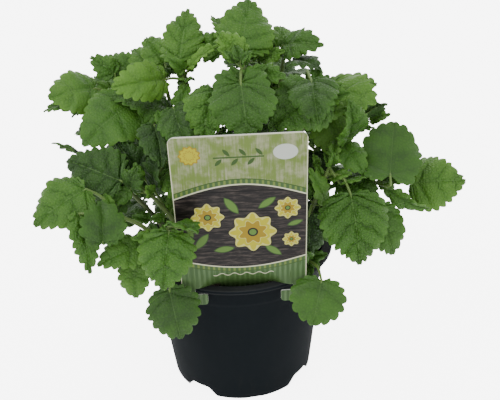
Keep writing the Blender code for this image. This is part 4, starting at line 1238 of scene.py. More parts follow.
def blade_sheet(spec, tone, rugged, columns, dice):
    """The upper skin of a fine blade: points, faces, and what its relief and colours go by."""
    axes = blade_axes(spec)
    length = axes[0]
    half = length * spec.wide / 2
    sharp = min(rugged, 1)
    line, run = edge_line(spec, length, half, sharp)
    teeth = max(round(run[-1] / (TOOTH_PITCH - TOOTH_SHARPER * sharp)), FEWEST_TEETH)
    rows = teeth * TOOTH_STEPS
    w = np.arange(rows) / rows
    plain_t = np.interp(w * run[-1], run, line[:, 0])
    plain_share = np.interp(w * run[-1], run, line[:, 1])
    back = plain_t - VEIN_SLANT * plain_share * half / length
    rib_t = np.log1p(np.exp(back * BASE_SOFTNESS)) / BASE_SOFTNESS
    edges = {side: toothed_edge(line, run, length, half, teeth, sharp, dice) for side in (-1, 1)}
    seed = dice.uniform(0, 900)
    frill = dice.uniform(0, math.tau)
    frilled = FRILL * rugged * length * min(length / SMALL_LEAF, 1)
    t_rows, share_rows, lift_rows, reach_rows = [], [], [], []
    for column in range(-columns, columns + 1):
        a = abs(column) / columns
        side = -1 if column < 0 else 1
        edge_t, edge_share = (each[:-1] for each in edges[side])
        t_rows.append(rib_t + (edge_t - rib_t) * (0.7 * a + 0.3 * a * a))
        share_rows.append(side * edge_share * a)
        waves = np.sin(LONG_FRILL * w + frill + side)
        waves = waves + FRILL_MIX * np.sin(SHORT_FRILL * w + 3 * frill - side)
        lift_rows.append(frilled * waves * a * a)
        reach_rows.append(np.full(rows, a))
    t = np.append(np.stack(t_rows, 1).ravel(), 1.0)
    share = np.append(np.stack(share_rows, 1).ravel(), 0.0)
    lift = np.append(np.stack(lift_rows, 1).ravel(), 0.0)[:, None]
    a = np.append(np.stack(reach_rows, 1).ravel(), 1.0)
    wide = 2 * columns + 1
    row = np.append(np.repeat(w, wide), 1.0)
    points = blade_skin(spec, axes, t, share, lift)
    corner = (np.arange(rows - 1)[:, None] * wide + np.arange(wide - 1)[None, :]).ravel()
    faces = np.stack((corner, corner + wide, corner + wide + 1, corner + 1), 1).tolist()
    last = (rows - 1) * wide
    faces += [[last + k, rows * wide, last + k + 1] for k in range(wide - 1)]
    plan = np.stack((share * half, t * length, np.full(len(t), seed)), 1)
    relief = rugged * (1 - a ** EDGE_FADE) * np.clip(row * FOOT_FADE, 0, 1)
    veins = np.stack((a, row * teeth / 2, relief), 1)
    return points, faces, plan, veins, np.full(len(t), tone)


def surface_of(node):
    """A CAD node's surface in millimetres, for tests of place."""
    return BVHTree.FromPolygons([v.co / MM for v in node.data.vertices],
                                [tuple(face.vertices) for face in node.data.polygons])


def check_against(node, spec):
    """Stops if a leaf isn't where the solid of the same name has it."""
    surface = surface_of(node)
    points = blade_mesh(spec)[0]
    near = sum(surface.find_nearest(point)[3] < MATCH_MM for point in points)
    if near < MATCH_SHARE * len(points):
        raise RuntimeError(f"a leaf of {node.name} near {tuple(spec.base)} isn't in the solid")


def turned_off(upward, turn):
    """A direction straight off a stem, at an angle round it."""
    sideways = upward.orthogonal().normalized()
    sideways.rotate(Matrix.Rotation(turn, 3, upward))
    return sideways


def young_leaf(at, place, aim, size, stalk, wide, roll, fold):
    """A small leaf that grows along its aim, on a stalk that is a share of its size."""
    aim = aim.normalized()
    base = place + aim * size * stalk
    return Leaf(at, base, base + aim * size, wide, roll, YOUNG_ARCH, fold, 0, HEART, HIDDEN_TEETH)


def tip_leaves(stem, dice):
    """A small upright pair at the stem's tip, and a smaller one within it, across the first."""
    place, upward = point_on(stem, 1.0)
    sideways = turned_off(upward, dice.uniform(0, math.pi))
    leaves = []
    for level, size in enumerate([dice.uniform(*sizes) for sizes in TIP_PAIRS]):
        for way in (1, -1):
            aim = sideways * way + upward * (1.0 + level * 0.7)
            leaves.append(young_leaf(0.99, place, aim, size, 0.25, 0.7, dice.uniform(-20, 20), 24))
        sideways = upward.cross(sideways)
    return leaves


def knot_leaves(shoot, stem, dice):
    """Pairs of small young leaves where the stem's older leaves grow."""
    leaves = []
    low = LOW_PAIRS.get(shoot.name, ())
    for at in sorted({round(spec.at, 1) for spec in shoot.leaves} | set(shoot.pairs) | set(low)):
        if at > KNOTS_END:
            continue
        place, upward = point_on(stem, at)
        sideways = turned_off(upward, dice.uniform(0, math.tau))
        for way in (1, -1):
            size = dice.uniform(*(LOW_PAIR if at in low else KNOT_PAIR))
            aim = sideways * way + upward * dice.uniform(0.5, 1.2)
            wide = dice.uniform(0.6, 0.8)
            leaves.append(young_leaf(at, place, aim, size, 0.35, wide, dice.uniform(-30, 30), 16))
    return leaves


def make_blades(shoot, leaves, materials, relief, looks):
    """All the blades of one shoot as a piece of closed thin leaves."""
    parts = [blade_sheet(*leaf_traits) for leaf_traits in leaves]
    points, all_faces, plan, veins, tones = zip(*parts)
    faces = []
    start = 0
    for some_points, some_faces in zip(points, all_faces):
        faces += [[k + start for k in face] for face in some_faces]
        start += len(some_points)
    name = "leaves_" + shoot.name.removeprefix("shoot_")
    obj = put_mesh(name, np.concatenate(points), faces, materials)
    store(obj.data, "plan", "FLOAT_VECTOR", np.concatenate(plan))
    store(obj.data, "veins", "FLOAT_VECTOR", np.concatenate(veins))
    store(obj.data, "tone", "FLOAT", np.concatenate(tones))
    add_modifier(obj, relief, {"Quilt": looks.quilt, "Net": looks.net, "Net Size": looks.net_size,
                               "Groove": looks.groove})
    thicken(obj, looks.thickness)
    settle_modifiers(obj)
    finish_piece(obj, 60, shoot.name)


# ---------------------------------------------------------------- stems

# Lines: how many rings a stem, a leaf stalk and a midrib have, where a midrib starts and ends on
# its blade, how far in mm it lies below, and how a stem swells at its knots. Half widths are in mm,
# for blades at least as long as FULL_STALK.
STEM_RINGS = 44
STALK_RINGS = 14
MIDRIB_RINGS = 8
MIDRIB_SPAN = (0.06, 0.86)
RIB_BELOW = 0.85
KNOT_REACH = 0.02
KNOT_SWELL = 0.18
STALK_HALF = (0.88, 0.66)
MIDRIB_HALF = (0.52, 0.16)
FULL_STALK = 26
STEM_AGE = 0.8
STALK_AGE = 0.9
MIDRIB_AGE = 1.0


def make_stalk_tree():
    """Geometry Nodes: a rounded square stalk round each line, with hairs on it."""
    tree, inputs, outputs = new_modifier_tree("stalks", ("Hair Length", "Hair Density"), ("Stalk", "Hair"))
    line = fed_node("GeometryNodeMeshToCurve", {"Mesh": inputs["Geometry"]}).outputs[0]
    square = add_node(tree, "GeometryNodeCurvePrimitiveQuadrilateral", {"Width": 2.0, "Height": 2.0})
    corner = {"Curve": square.outputs[0], "Radius": 0.75, "Count": 2}
    section = fed_node("GeometryNodeFilletCurve", corner, mode="POLY").outputs[0]
    radius = split(attribute(tree, "stalk"))[0]
    sweep = {"Curve": line, "Profile Curve": section, "Scale": radius, "Fill Caps": True}
    stalk = fed_node("GeometryNodeCurveToMesh", sweep).outputs[0]
    stalk = clad(stalk, inputs["Stalk"])
    scatter = {"Mesh": stalk, "Density": inputs["Hair Density"], "Seed": SEED}
    roots = fed_node("GeometryNodeDistributePointsOnFaces", scatter).outputs
    thorn = {"Vertices": 3, "Radius Bottom": 0.06, "Depth": 1.0}
    hair = add_node(tree, "GeometryNodeMeshCone", thorn, fill_type="NONE").outputs[0]
    size = times(some_number(tree, 0.5, 1.0, SEED), inputs["Hair Length"])
    hairs = strew(roots["Points"], hair, roots["Rotation"], size)
    hairs = clad(hairs, inputs["Hair"])
    tree.links.new(join_all((hairs, stalk)), outputs["Geometry"])
    return tree


def stalk_lines(shoot, leaves):
    """The lines of a shoot's stem, and of its leaf stalks with the midribs below the blades, each
    with its half widths in mm and its ages, from 0, old, to 1, young."""
    stem = stem_path(shoot, STEM_RINGS)
    shares = [k / (len(stem) - 1) for k in range(len(stem))]
    radii = []
    for share in shares:
        knots = (math.exp(-((share - spec.at) / KNOT_REACH) ** 2) for spec, path in leaves)
        swollen = 1 + KNOT_SWELL * max(knots, default=0)
        radii.append((STEM_FOOT + (STEM_TIP - STEM_FOOT) * share) * swollen)
    lines = [(stem, radii, [share * STEM_AGE for share in shares])]
    for spec, path in leaves:
        stalk = smooth_path(list(reversed(path)), STALK_RINGS)
        axes = blade_axes(spec)
        t = np.linspace(*MIDRIB_SPAN, MIDRIB_RINGS)
        rib = [Vector(p) for p in blade_skin(spec, axes, t, np.zeros(len(t)), -RIB_BELOW)]
        thin = min(axes[0] / FULL_STALK, 1.0)
        widths = list(np.linspace(*STALK_HALF, STALK_RINGS) * thin)
        widths += list(np.linspace(*MIDRIB_HALF, MIDRIB_RINGS) * thin)
        lines.append((stalk + rib, widths, [STALK_AGE] * STALK_RINGS + [MIDRIB_AGE] * MIDRIB_RINGS))
    return lines


def make_stalks(shoot, leaves, materials, stalk_tree, looks):
    """The stem and leaf stalks of one shoot as a piece."""
    points, edges, stalk = [], [], []
    for line, radii, ages in stalk_lines(shoot, leaves):
        start = len(points)
        points += [tuple(point * MM) for point in line]
        edges += [(start + k, start + k + 1) for k in range(len(line) - 1)]
        stalk += [(radius * MM, age, 0) for radius, age in zip(radii, ages)]
    obj = put_object("stem_" + shoot.name.removeprefix("shoot_"), points, edges, [], materials)
    store(obj.data, "stalk", "FLOAT_VECTOR", stalk)
    add_modifier(obj, stalk_tree, {"Hair Length": looks.hair_length, "Hair Density": looks.hair_density,
                                   "Stalk": materials[0], "Hair": materials[1]})
    settle_modifiers(obj)
    finish_piece(obj, 50, shoot.name)


def stem_material(looks):
    material, tree, surface = new_material("stem", 0.48, Sheen_Weight=0.05)
    place = own_place(tree)
    age = split(attribute(tree, "stalk"))[1]
    streaks = noise(stretched(place, 900, 900, 60), 1.0, 3.0)
    level = times_plus(streaks, 0.30, minus(age, 0.15))
    green = blend(step(level, 0.05, 0.85), looks.old, looks.young)
    connect(surface, Base_Color=green, Normal=bump(0.4, 0.0002, streaks))
    return material


def hair_material(looks):
    return new_material("stem hair", 0.6, Base_Color=looks.hair)[0]


def grow_leaves():
    """Each shoot's leaves as (leaf, stalk's line, tone, ruggedness, columns of its mesh): the
    planned ones first, then the small young ones wherever there is room."""
    thicket = Thicket([surface_of(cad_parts[name]) for name in ("pot", "label", "soil")])
    grown = {shoot.name: [] for shoot in SHOOTS}
    dice = random.Random(SEED + 1)
    tones = {shoot.name: list(TONES.get(shoot.name, ())) for shoot in SHOOTS}
    rugged_ones = {shoot.name: list(RUGGED.get(shoot.name, ())) for shoot in SHOOTS}
    for shoot, spec in planned_leaves():
        drawn = dice.uniform(0.12, 0.42) + 0.25 * max(spec.at - 0.6, 0)
        known, known_rugged = tones[shoot.name], rugged_ones[shoot.name]
        tone = known.pop(0) if known else drawn
        rugged = known_rugged.pop(0) if known_rugged else 0.6 + 0.8 * drawn
        settled = thicket.settle(shoot, spec)
        if settled is None:
            continue
        check_against(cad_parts[shoot.name], settled[0])
        grown[shoot.name].append((*settled, tone, rugged, BLADE_COLUMNS))
    for shoot in SHOOTS:
        stem = stem_path(shoot)
        for spec in tip_leaves(stem, dice) + knot_leaves(shoot, stem, dice):
            settled = thicket.settle(shoot, spec)
            if settled is not None:
                tone, rugged = dice.uniform(0.35, 0.70), dice.uniform(0.5, 1.0)
                grown[shoot.name].append((*settled, tone, rugged, YOUNG_COLUMNS))
    return grown


class LEMONBALM_OT_leafy_stems(bpy.types.Operator):
    """Makes the fine leaves and stems, each leaf where the plan and its rule put it"""

    bl_idname = "lemonbalm.leafy_stems"
    bl_label = "Leafy stems"

    def execute(self, context):
        leaf_looks = context.scene.lemonbalm_leaf
        stem_looks = context.scene.lemonbalm_stem
        group = make_vein_group(leaf_looks)
        blade_materials = (upper_material(leaf_looks, group), underside_material(leaf_looks, group))
        stalk_materials = (stem_material(stem_looks), hair_material(stem_looks))
        relief = make_relief()
        stalk_tree = make_stalk_tree()
        grown = grow_leaves()
        for shoot in SHOOTS:
            leaves = grown[shoot.name]
            blades = [(spec, tone, rugged, columns, random.Random(str(spec.base)))
                      for spec, path, tone, rugged, columns in leaves]
            make_blades(shoot, blades, blade_materials, relief, leaf_looks)
            stalks = [each[:2] for each in leaves]
            make_stalks(shoot, stalks, stalk_materials, stalk_tree, stem_looks)
        return {"FINISHED"}


# ---------------------------------------------------------------- pot

# Heights in metres for the pot's material: where dust fades out, where a painted highlight line
# fades in and ends on the lip's lower edge, and where rubbing with a painted highlight fades in on
# the lip's top. Then how far apart the turned rings are.
DUST_END = 0.030
HEM_HIGHLIGHT_START = (0.0872, 0.0875)
HEM_HIGHLIGHT_END = (0.0884, 0.0878)
LIP_TOP = (0.0892, 0.0898)
RING_TURN = 2600.0

EASE_STEPS = 4
HOOD_STATIONS = 33
DRILL = ((0, 3), (DRAIN_RADIUS, 3), (DRAIN_RADIUS, 12), (0, 12))


def rounded(profile):
    """A profile of (radius, height, rounding) with each corner eased by its rounding."""
    line = []
    for k, (radius, height, ease) in enumerate(profile):
        here = Vector((radius, height))
        if ease == 0:
            line.append(tuple(here))
            continue
        before = Vector(profile[k - 1][:2])
        after = Vector(profile[k + 1][:2])
        start = here + (before - here).normalized() * ease
        end = here + (after - here).normalized() * ease
        for i in range(EASE_STEPS + 1):
            u = i / EASE_STEPS
            line.append(tuple(start * (1 - u) ** 2 + here * 2 * u * (1 - u) + end * u * u))
    return line


def scalloped_bars(name, grow, first_turn, width, slope, height, start):
    """Bars with flowing sides: grown, they are the channels' hoods; plain, they cut the channels."""
    low = FLOOR_LIFT if grow > 0 else -1
    foot = low + BAR_EDGE
    reach = FOOT_RADIUS - HOOD_END if grow > 0 else FOOT_RADIUS + 10
    half = width / 2 + grow + 1
    stations = []
    for aside in np.linspace(-half, half, HOOD_STATIONS):
        up = min((half - abs(aside)) / (slope + 2), 1)
        stations.append((aside, foot + (height + grow - foot) * up * up * (3 - 2 * up)))
    bars = []
    for i in range(CHANNELS):
        turn = first_turn + math.tau * i / CHANNELS
        bars.append(put_mesh(name, *radial_bar(turn, stations, low, start - grow, reach)))
    return bars


def pot_material(looks):
    material, tree, surface = new_material("pot plastic", 0.5, Specular_IOR_Level=0.05)
    place = own_place(tree)
    z = split(place)[2]
    cloud = noise(place, 60.0, 4.0)
    scuffs = noise(stretched(place, 300, 300, 40), 1.0, 5.0, 0.7)
    low = step(z, DUST_END, 0.0)
    dusty = times(step(scuffs, 0.50, 0.80), plus(low, 0.12))
    colour = blend(times(dusty, 0.55), looks.plastic, looks.dust)
    # Painted highlight: a light line along the lip's lower edge, and on the lip's top rubbing with a
    # painted highlight, in patches.
    hem_highlight = times(step(z, *HEM_HIGHLIGHT_START), step(z, *HEM_HIGHLIGHT_END))
    rubbed = calc("MAXIMUM", step(z, *LIP_TOP), times(hem_highlight, 0.8))
    rubbed = times(rubbed, step(cloud, 0.0, 0.6))
    colour = blend(rubbed, colour, looks.rubbed)
    matt = times_plus(cloud, 0.14, 0.52)
    matt = times_plus(dusty, 0.20, matt)
    rings = calc("SINE", times(z, RING_TURN))
    height = times_plus(rings, 0.12, noise(place, 2200.0, 2.0))
    connect(surface, Base_Color=colour, Roughness=matt, Normal=bump(0.25, 0.0001, height))
    return material


def pot_profile():
    """The pot's section from the middle of its foot round to the middle of its floor, as (radius,
    height, rounding)."""
    under_lip = POT_HEIGHT - LIP_DEPTH
    ring = FOOT_RADIUS - FOOT_RING
    profile = [(0, 0, 0), (PAD_RADIUS, 0, 0), (PAD_RADIUS + 1, FLOOR_LIFT, 0), (ring, FLOOR_LIFT, 0),
               (ring + 1, 0, 0), (FOOT_RADIUS, 0, 0.9)]
    profile += [(wall_radius(z), z, 0) for z in range(8, int(STEP_HEIGHT), 6)]
    profile += [(wall_radius(STEP_HEIGHT), STEP_HEIGHT - 0.6, 0.7),
                (wall_radius(STEP_HEIGHT + 0.1), STEP_HEIGHT + 1.2, 0.7),
                (wall_radius(under_lip), under_lip, 0.5), (LIP_RADIUS, under_lip, 0.4),
                (LIP_RADIUS, POT_HEIGHT, 0.9), (MOUTH_RADIUS, POT_HEIGHT, 0.7)]
    profile += [(wall_radius(z) - WALL, z, ease) for z, ease in ((84, 1.5), (40, 0))]
    return profile + [(FOOT_RADIUS - WALL, WALL, 0), (0, WALL, 0)]


class LEMONBALM_OT_pot(bpy.types.Operator):
    """Makes the pot: eased lip, stacking step, and the channels and holes of its foot"""

    bl_idname = "lemonbalm.pot"
    bl_label = "Pot"

    def execute(self, context):
        looks = context.scene.lemonbalm_pot
        shell = revolve(rounded(pot_profile()), looks.sides)
        pot = put_mesh("pot_shell", *shell, [pot_material(looks)])
        combine(pot, scalloped_bars("hood", WALL, CHANNEL_TURN, **CHANNEL), "UNION")
        cutters = scalloped_bars("channel", 0, CHANNEL_TURN, **CHANNEL)
        cutters += scalloped_bars("nick", 0, SMALL_CHANNEL_TURN, **SMALL_CHANNEL)
        points, faces = revolve(DRILL, 24)
        for i in range(CHANNELS):
            turn = CHANNEL_TURN - math.pi / 2 + math.tau * i / CHANNELS
            middle = np.array((math.cos(turn), math.sin(turn), 0)) * DRAIN_PLACE
            cutters.append(put_mesh("drain", np.asarray(points) + middle, faces))
        combine(pot, cutters, "DIFFERENCE")
        ease_edges(pot, 0.35, 50)
        settle_modifiers(pot)
        finish_piece(pot, 35, "pot")
        return {"FINISHED"}


# ---------------------------------------------------------------- label


def strip(rows, columns_of):
    """Rows of points of the tag's face at the heights given, with x where columns_of() puts it."""
    return [[(x, v) for x in columns_of(v)] for v in rows]


def corner_inset(distance, radius):
    """How far a rounded corner draws in at a distance from the edge that it ends at."""
    if distance >= radius:
        return 0.0
    return radius - math.sqrt(radius ** 2 - (radius - distance) ** 2)


def spread(low, high, count):
    """Evenly spaced numbers from low to high."""
    return list(np.linspace(low, high, count))


def label_rows():
    """The tag's parts as rows of (x, v): its body, its tongue, and on each side a tab and its hook."""
    half = LABEL_WIDTH / 2

    def body(v):
        edge = half - corner_inset(LABEL_HEIGHT - v, LABEL_CORNER)
        left = spread(-edge, -TAB_INSIDE, 7) + spread(-TAB_INSIDE, -TONGUE_HALF, 9)[1:]
        return left + spread(-TONGUE_HALF, TONGUE_HALF, 17)[1:] + [-x for x in reversed(left)][1:]

    def tab(v):
        return spread(-half + corner_inset(v, LABEL_CORNER), -TAB_INSIDE, 7)

    def hook(v):
        inset = corner_inset(v, HOOK_CORNER) + corner_inset(HOOK_TOP - v, HOOK_CORNER / 2)
        return spread(-TAB_INSIDE, -HOOK_INSIDE - inset, 7)

    def tongue(v):
        return spread(-TONGUE_HALF, TONGUE_HALF, 17)

    turns = [1 - math.cos(math.radians(a)) for a in range(0, 91, 15)]
    foot = sorted({*(LABEL_CORNER * a for a in turns), *(HOOK_CORNER * a for a in turns)})
    hook_rows = foot + [HOOK_TOP - 1.5] + [HOOK_TOP - HOOK_CORNER / 2 * a for a in reversed(turns)]
    tab_rows = hook_rows + spread(HOOK_TOP, SHOULDER, 4)[1:]
    top = [LABEL_HEIGHT - LABEL_CORNER * a for a in reversed(turns)]
    body_rows = spread(SHOULDER, top[0], 66) + top[1:]
    left = [strip(tab_rows, tab), strip(hook_rows, hook)]
    right = [[[(-x, v) for x, v in reversed(row)] for row in part] for part in left]
    return [strip(body_rows, body), strip(spread(-TONGUE_DEPTH, SHOULDER, 16), tongue), *left, *right]


# The label's drawing, in millimetres across from its middle and up from its tabs' lower edge.
FIELD_SPLIT = (40.5, 39.5)
STRIPE_TURN = 2.2
# Painted shade: the striped field is darkened in a band just above the lip, between these heights.
LIP_SHADE_BAND = ((26, 13), (8, 11))
BOARD_TOP = 74.0
BOARD_LOW = 34.0
TOP_BOW = 8.0
LOW_BOW = -7.0
PLANK = 13
BORDERS = (4.0, 3.4, 0.8)
SUN_PLACE = (-25, 101)
SUN_RADIUS = 5.4
SUN_RAYS = 11.0
OVAL_PLACE = (24, 101)
OVAL_RADIUS = 4.6
OVAL_SQUASH = 0.72
SPRIG_HEIGHT = 99
SPRIG_HALF = 13.0
SPRIG_LEAVES = 6
WAVE_HEIGHT = 21.0
WAVE_HALF = 17.0
FLOWER_PETALS = 8
LABEL_FLOWERS = (((-18, 62), 9.0), ((6, 51), 13.0), ((25, 66), 7.0), ((27, 45), 5.0))
LABEL_LEAVES = (((-5, 69), 10.0, 0.6), ((14, 70), 9.0, 2.2), ((-22, 46), 10.0, 2.5), ((17, 38), 9.0, 0.9),
                ((-10, 40), 9.0, 1.7), ((-28, 53), 7.0, 0.4), ((29, 56), 7.0, 1.9))


def disc(x, y, middle, radius):
    """The distance outside a disc, negative within."""
    far = vector_calc("DISTANCE", {0: gather(x, y), 1: (*middle, 0)})["Value"]
    return minus(far, radius)


def leaf_mark(x, y, middle, size, turn):
    """The distance outside a pointed leaf shape, where two discs overlap."""
    aside = (math.cos(turn) * size * 0.75, math.sin(turn) * size * 0.75)
    first = disc(x, y, (middle[0] + aside[0], middle[1] + aside[1]), size)
    second = disc(x, y, (middle[0] - aside[0], middle[1] - aside[1]), size)
    return calc("MAXIMUM", first, second)


def paint(ground, distance, colour, soft=0.12):
    """Lays a colour on the ground wherever the distance is negative."""
    return blend(step(distance, soft, -soft), ground, colour)


def line_mark(x, off, thick, half):
    """The distance outside a line, from the distance off its middle, its thickness and its reach."""
    beside = minus(calc("ABSOLUTE", x), half)
    return calc("MAXIMUM", minus(calc("ABSOLUTE", off), thick), beside)


def round_turn(x, y, middle):
    """The angle round a middle."""
    return calc("ARCTAN2", minus(y, middle[1]), minus(x, middle[0]))


def flower_mark(ground, x, y, middle, radius, looks):
    """A plain open flower: two rings of petals round a darker eye."""
    far = disc(x, y, middle, 0)
    turn = round_turn(x, y, middle)
    petals = calc("COSINE", times(turn, FLOWER_PETALS))
    reach = times_plus(petals, 0.10 * radius, 0.90 * radius)
    outer = minus(far, reach)
    ground = paint(ground, outer, looks.flower_edge)
    creases = minus(1.0, calc("ABSOLUTE", petals))
    within = times_plus(creases, 0.16 * radius, 0.5)
    ground = paint(ground, plus(outer, within), looks.yellow)
    between = times(petals, -0.09 * radius)
    inner = minus(minus(far, 0.56 * radius), between)
    ground = paint(ground, inner, looks.flower_edge)
    ground = paint(ground, plus(inner, 0.5), looks.flower_heart)
    ground = paint(ground, minus(far, 0.22 * radius), looks.panel)
    return paint(ground, minus(far, 0.15 * radius), looks.leaf)


def label_ground(x, y, place, looks):
    """A streaked pale field above, and an upright striped green one below, darkened by painted shade just
    above the lip.
    """
    streaks = noise(stretched(place, 1.1, 0.05, 1), 1.0, 4.0, 0.7)
    cloud = noise(place, 0.13, 4.0, 0.6)
    level = plus(times(streaks, 0.55), times(cloud, 0.75))
    pale = blend(step(level, 0.48, 0.74), looks.ground, looks.streak)
    bands = calc("SINE", times(x, STRIPE_TURN))
    striped = blend(step(bands, -0.5, 0.8), looks.stripe, looks.stripe_light)
    shade = noise(stretched(place, 0.9, 0.08, 1), 1.0, 3.0)
    striped = blend(step(shade, 0.45, 0.75), striped, looks.leaf_dark)
    # Painted shade on the stripes just above the lip.
    lip_shade = times(*(step(y, *heights) for heights in LIP_SHADE_BAND))
    striped = blend(times(lip_shade, 0.6), striped, looks.leaf_dark)
    return blend(step(y, *FIELD_SPLIT), pale, striped)


def label_panel(x, y, place, colour, looks):
    """A dark board with flowers and leaves on it, between two bowed lines."""
    bow = calc("COSINE", times(x, math.pi / LABEL_WIDTH))
    top = minus(y, times_plus(bow, TOP_BOW, BOARD_TOP))
    low = minus(times_plus(bow, LOW_BOW, BOARD_LOW), y)
    panel = calc("MAXIMUM", top, low)
    ribs = calc("SINE", times(x, STRIPE_TURN))
    ribbed = blend(step(ribs, -0.2, 0.6), looks.stripe, looks.streak)
    for border, border_colour in zip(BORDERS, (looks.leaf_dark, ribbed, looks.line)):
        colour = paint(colour, minus(panel, border), border_colour)
    grain = noise(stretched(place, 0.10, 0.7, 1), 1.0, 6.0, 0.7)
    dark = blend(step(grain, 0.44, 0.74), looks.panel, looks.panel_grain)
    seams = calc("ABSOLUTE", calc("SINE", times(y, math.pi / PLANK)))
    dark = blend(step(seams, 0.10, 0.03), dark, (0, 0, 0, 1))
    colour = paint(colour, panel, dark)
    drawn = colour
    for middle, size, turn in LABEL_LEAVES:
        mark = leaf_mark(x, y, middle, size, turn)
        drawn = paint(drawn, mark, looks.leaf_dark)
        drawn = paint(drawn, plus(mark, 0.5), looks.leaf)
    for middle, radius in LABEL_FLOWERS:
        drawn = flower_mark(drawn, x, y, middle, radius, looks)
    return blend(step(panel, 0.1, -0.1), colour, drawn)


def label_head(x, y, colour, looks):
    """A small sun, a sprig and an empty pale oval across the top, and a wavy line at the foot."""
    squashed = times(x, OVAL_SQUASH)
    badge = disc(squashed, y, (OVAL_PLACE[0] * OVAL_SQUASH, OVAL_PLACE[1]), OVAL_RADIUS)
    colour = paint(colour, badge, looks.badge)
    rays = calc("COSINE", times(round_turn(x, y, SUN_PLACE), SUN_RAYS))
    sun = times_plus(rays, 0.45, disc(x, y, SUN_PLACE, SUN_RADIUS))
    colour = paint(colour, sun, looks.flower_heart)
    for inset, ring_colour in ((0.8, looks.yellow), (2.6, looks.flower_heart), (3.0, looks.yellow)):
        colour = paint(colour, plus(sun, inset), ring_colour)
    twig = line_mark(x, minus(y, SPRIG_HEIGHT), 0.45, SPRIG_HALF)
    colour = paint(colour, twig, looks.leaf_dark)
    for k in range(SPRIG_LEAVES):
        rise, turn = ((-2.8, 2.4), (2.8, 0.7))[k % 2]
        mark = leaf_mark(x, y, (-10.5 + 4.2 * k, SPRIG_HEIGHT + rise), 4.2, turn)
        colour = paint(colour, mark, looks.leaf_dark)
    wave = times_plus(calc("SINE", times(x, 0.9)), 0.9, WAVE_HEIGHT)
    return paint(colour, line_mark(x, minus(y, wave), 0.30, WAVE_HALF), looks.line)


def label_print(looks):
    """The tag's printed face: a streaked field, a dark board with flowers and leaves, and stripes."""
    material, tree, surface = new_material("label print", 0.4, Specular_IOR_Level=0.22)
    x, y = split(attribute(tree, "print"))[:2]
    place = gather(x, y)
    colour = label_ground(x, y, place, looks)
    colour = label_panel(x, y, place, colour, looks)
    colour = label_head(x, y, colour, looks)
    from_side = minus(LABEL_WIDTH / 2, calc("ABSOLUTE", x))
    border = calc("MINIMUM", from_side, minus(LABEL_HEIGHT, y))
    colour = blend(step(border, 0.6, 0.4), colour, looks.line)
    gloss = times_plus(noise(place, 0.4, 3.0), 0.12, 0.34)
    connect(surface, Base_Color=colour, Roughness=gloss)
    return material


def label_back(looks):
    material, tree, surface = new_material("label plastic", 0.42)
    place = own_place(tree)
    dull = step(noise(place, 120.0, 4.0), 0.4, 0.8)
    colour = blend(dull, looks.back, (0.60, 0.61, 0.54, 1))
    grain = noise(place, 1500.0)
    connect(surface, Base_Color=colour, Normal=bump(0.2, 0.0001, grain))
    return material


class LEMONBALM_OT_label(bpy.types.Operator):
    """Makes the bent tag that clips over the lip, with a plain printed design and no lettering"""

    bl_idname = "lemonbalm.label"
    bl_label = "Label"

    def execute(self, context):
        looks = context.scene.lemonbalm_label
        faces, spots, index = [], [], {}
        for part in label_rows():
            grid = []
            for row in part:
                keys = [(round(x, 4), round(v, 4)) for x, v in row]
                for key, spot in zip(keys, row):
                    if key not in index:
                        index[key] = len(spots)
                        spots.append(spot)
                grid.append([index[key] for key in keys])
            for low, high in zip(grid, grid[1:]):
                faces += zip(low, low[1:], high[1:], high)
        points = [label_point(*spot, LABEL_THICKNESS / 2) for spot in spots]
        label = put_mesh("label_tag", points, faces, [label_print(looks), label_back(looks)])
        store(label.data, "print", "FLOAT_VECTOR", [(*spot, 0) for spot in spots])
        thicken(label, LABEL_THICKNESS * MM).material_offset_rim = 1
        ease_edges(label, 0.12, 60)
        settle_modifiers(label)
        finish_piece(label, 50, "label")
        return {"FINISHED"}


# ---------------------------------------------------------------- soil

# The crumbled top: how far from the middle it fades out, the height of its lumps and how far a
# crumb's corners are moved, in metres. What is strewn has its share, size, seed and material.
CRUMBLE_EDGE = (0.0515, 0.0495)
CRUMBLE_HEIGHT = 0.006
JAG = 0.0009
STREWN = ((1.0, 1.0, 1, "Soil"), (0.02, 0.8, 2, "Grit"))
CRUMB_SIZES = (0.35, 1.5)
CRUMB_FLAT = (0.8, 0.65)
HEAP_RINGS = 41


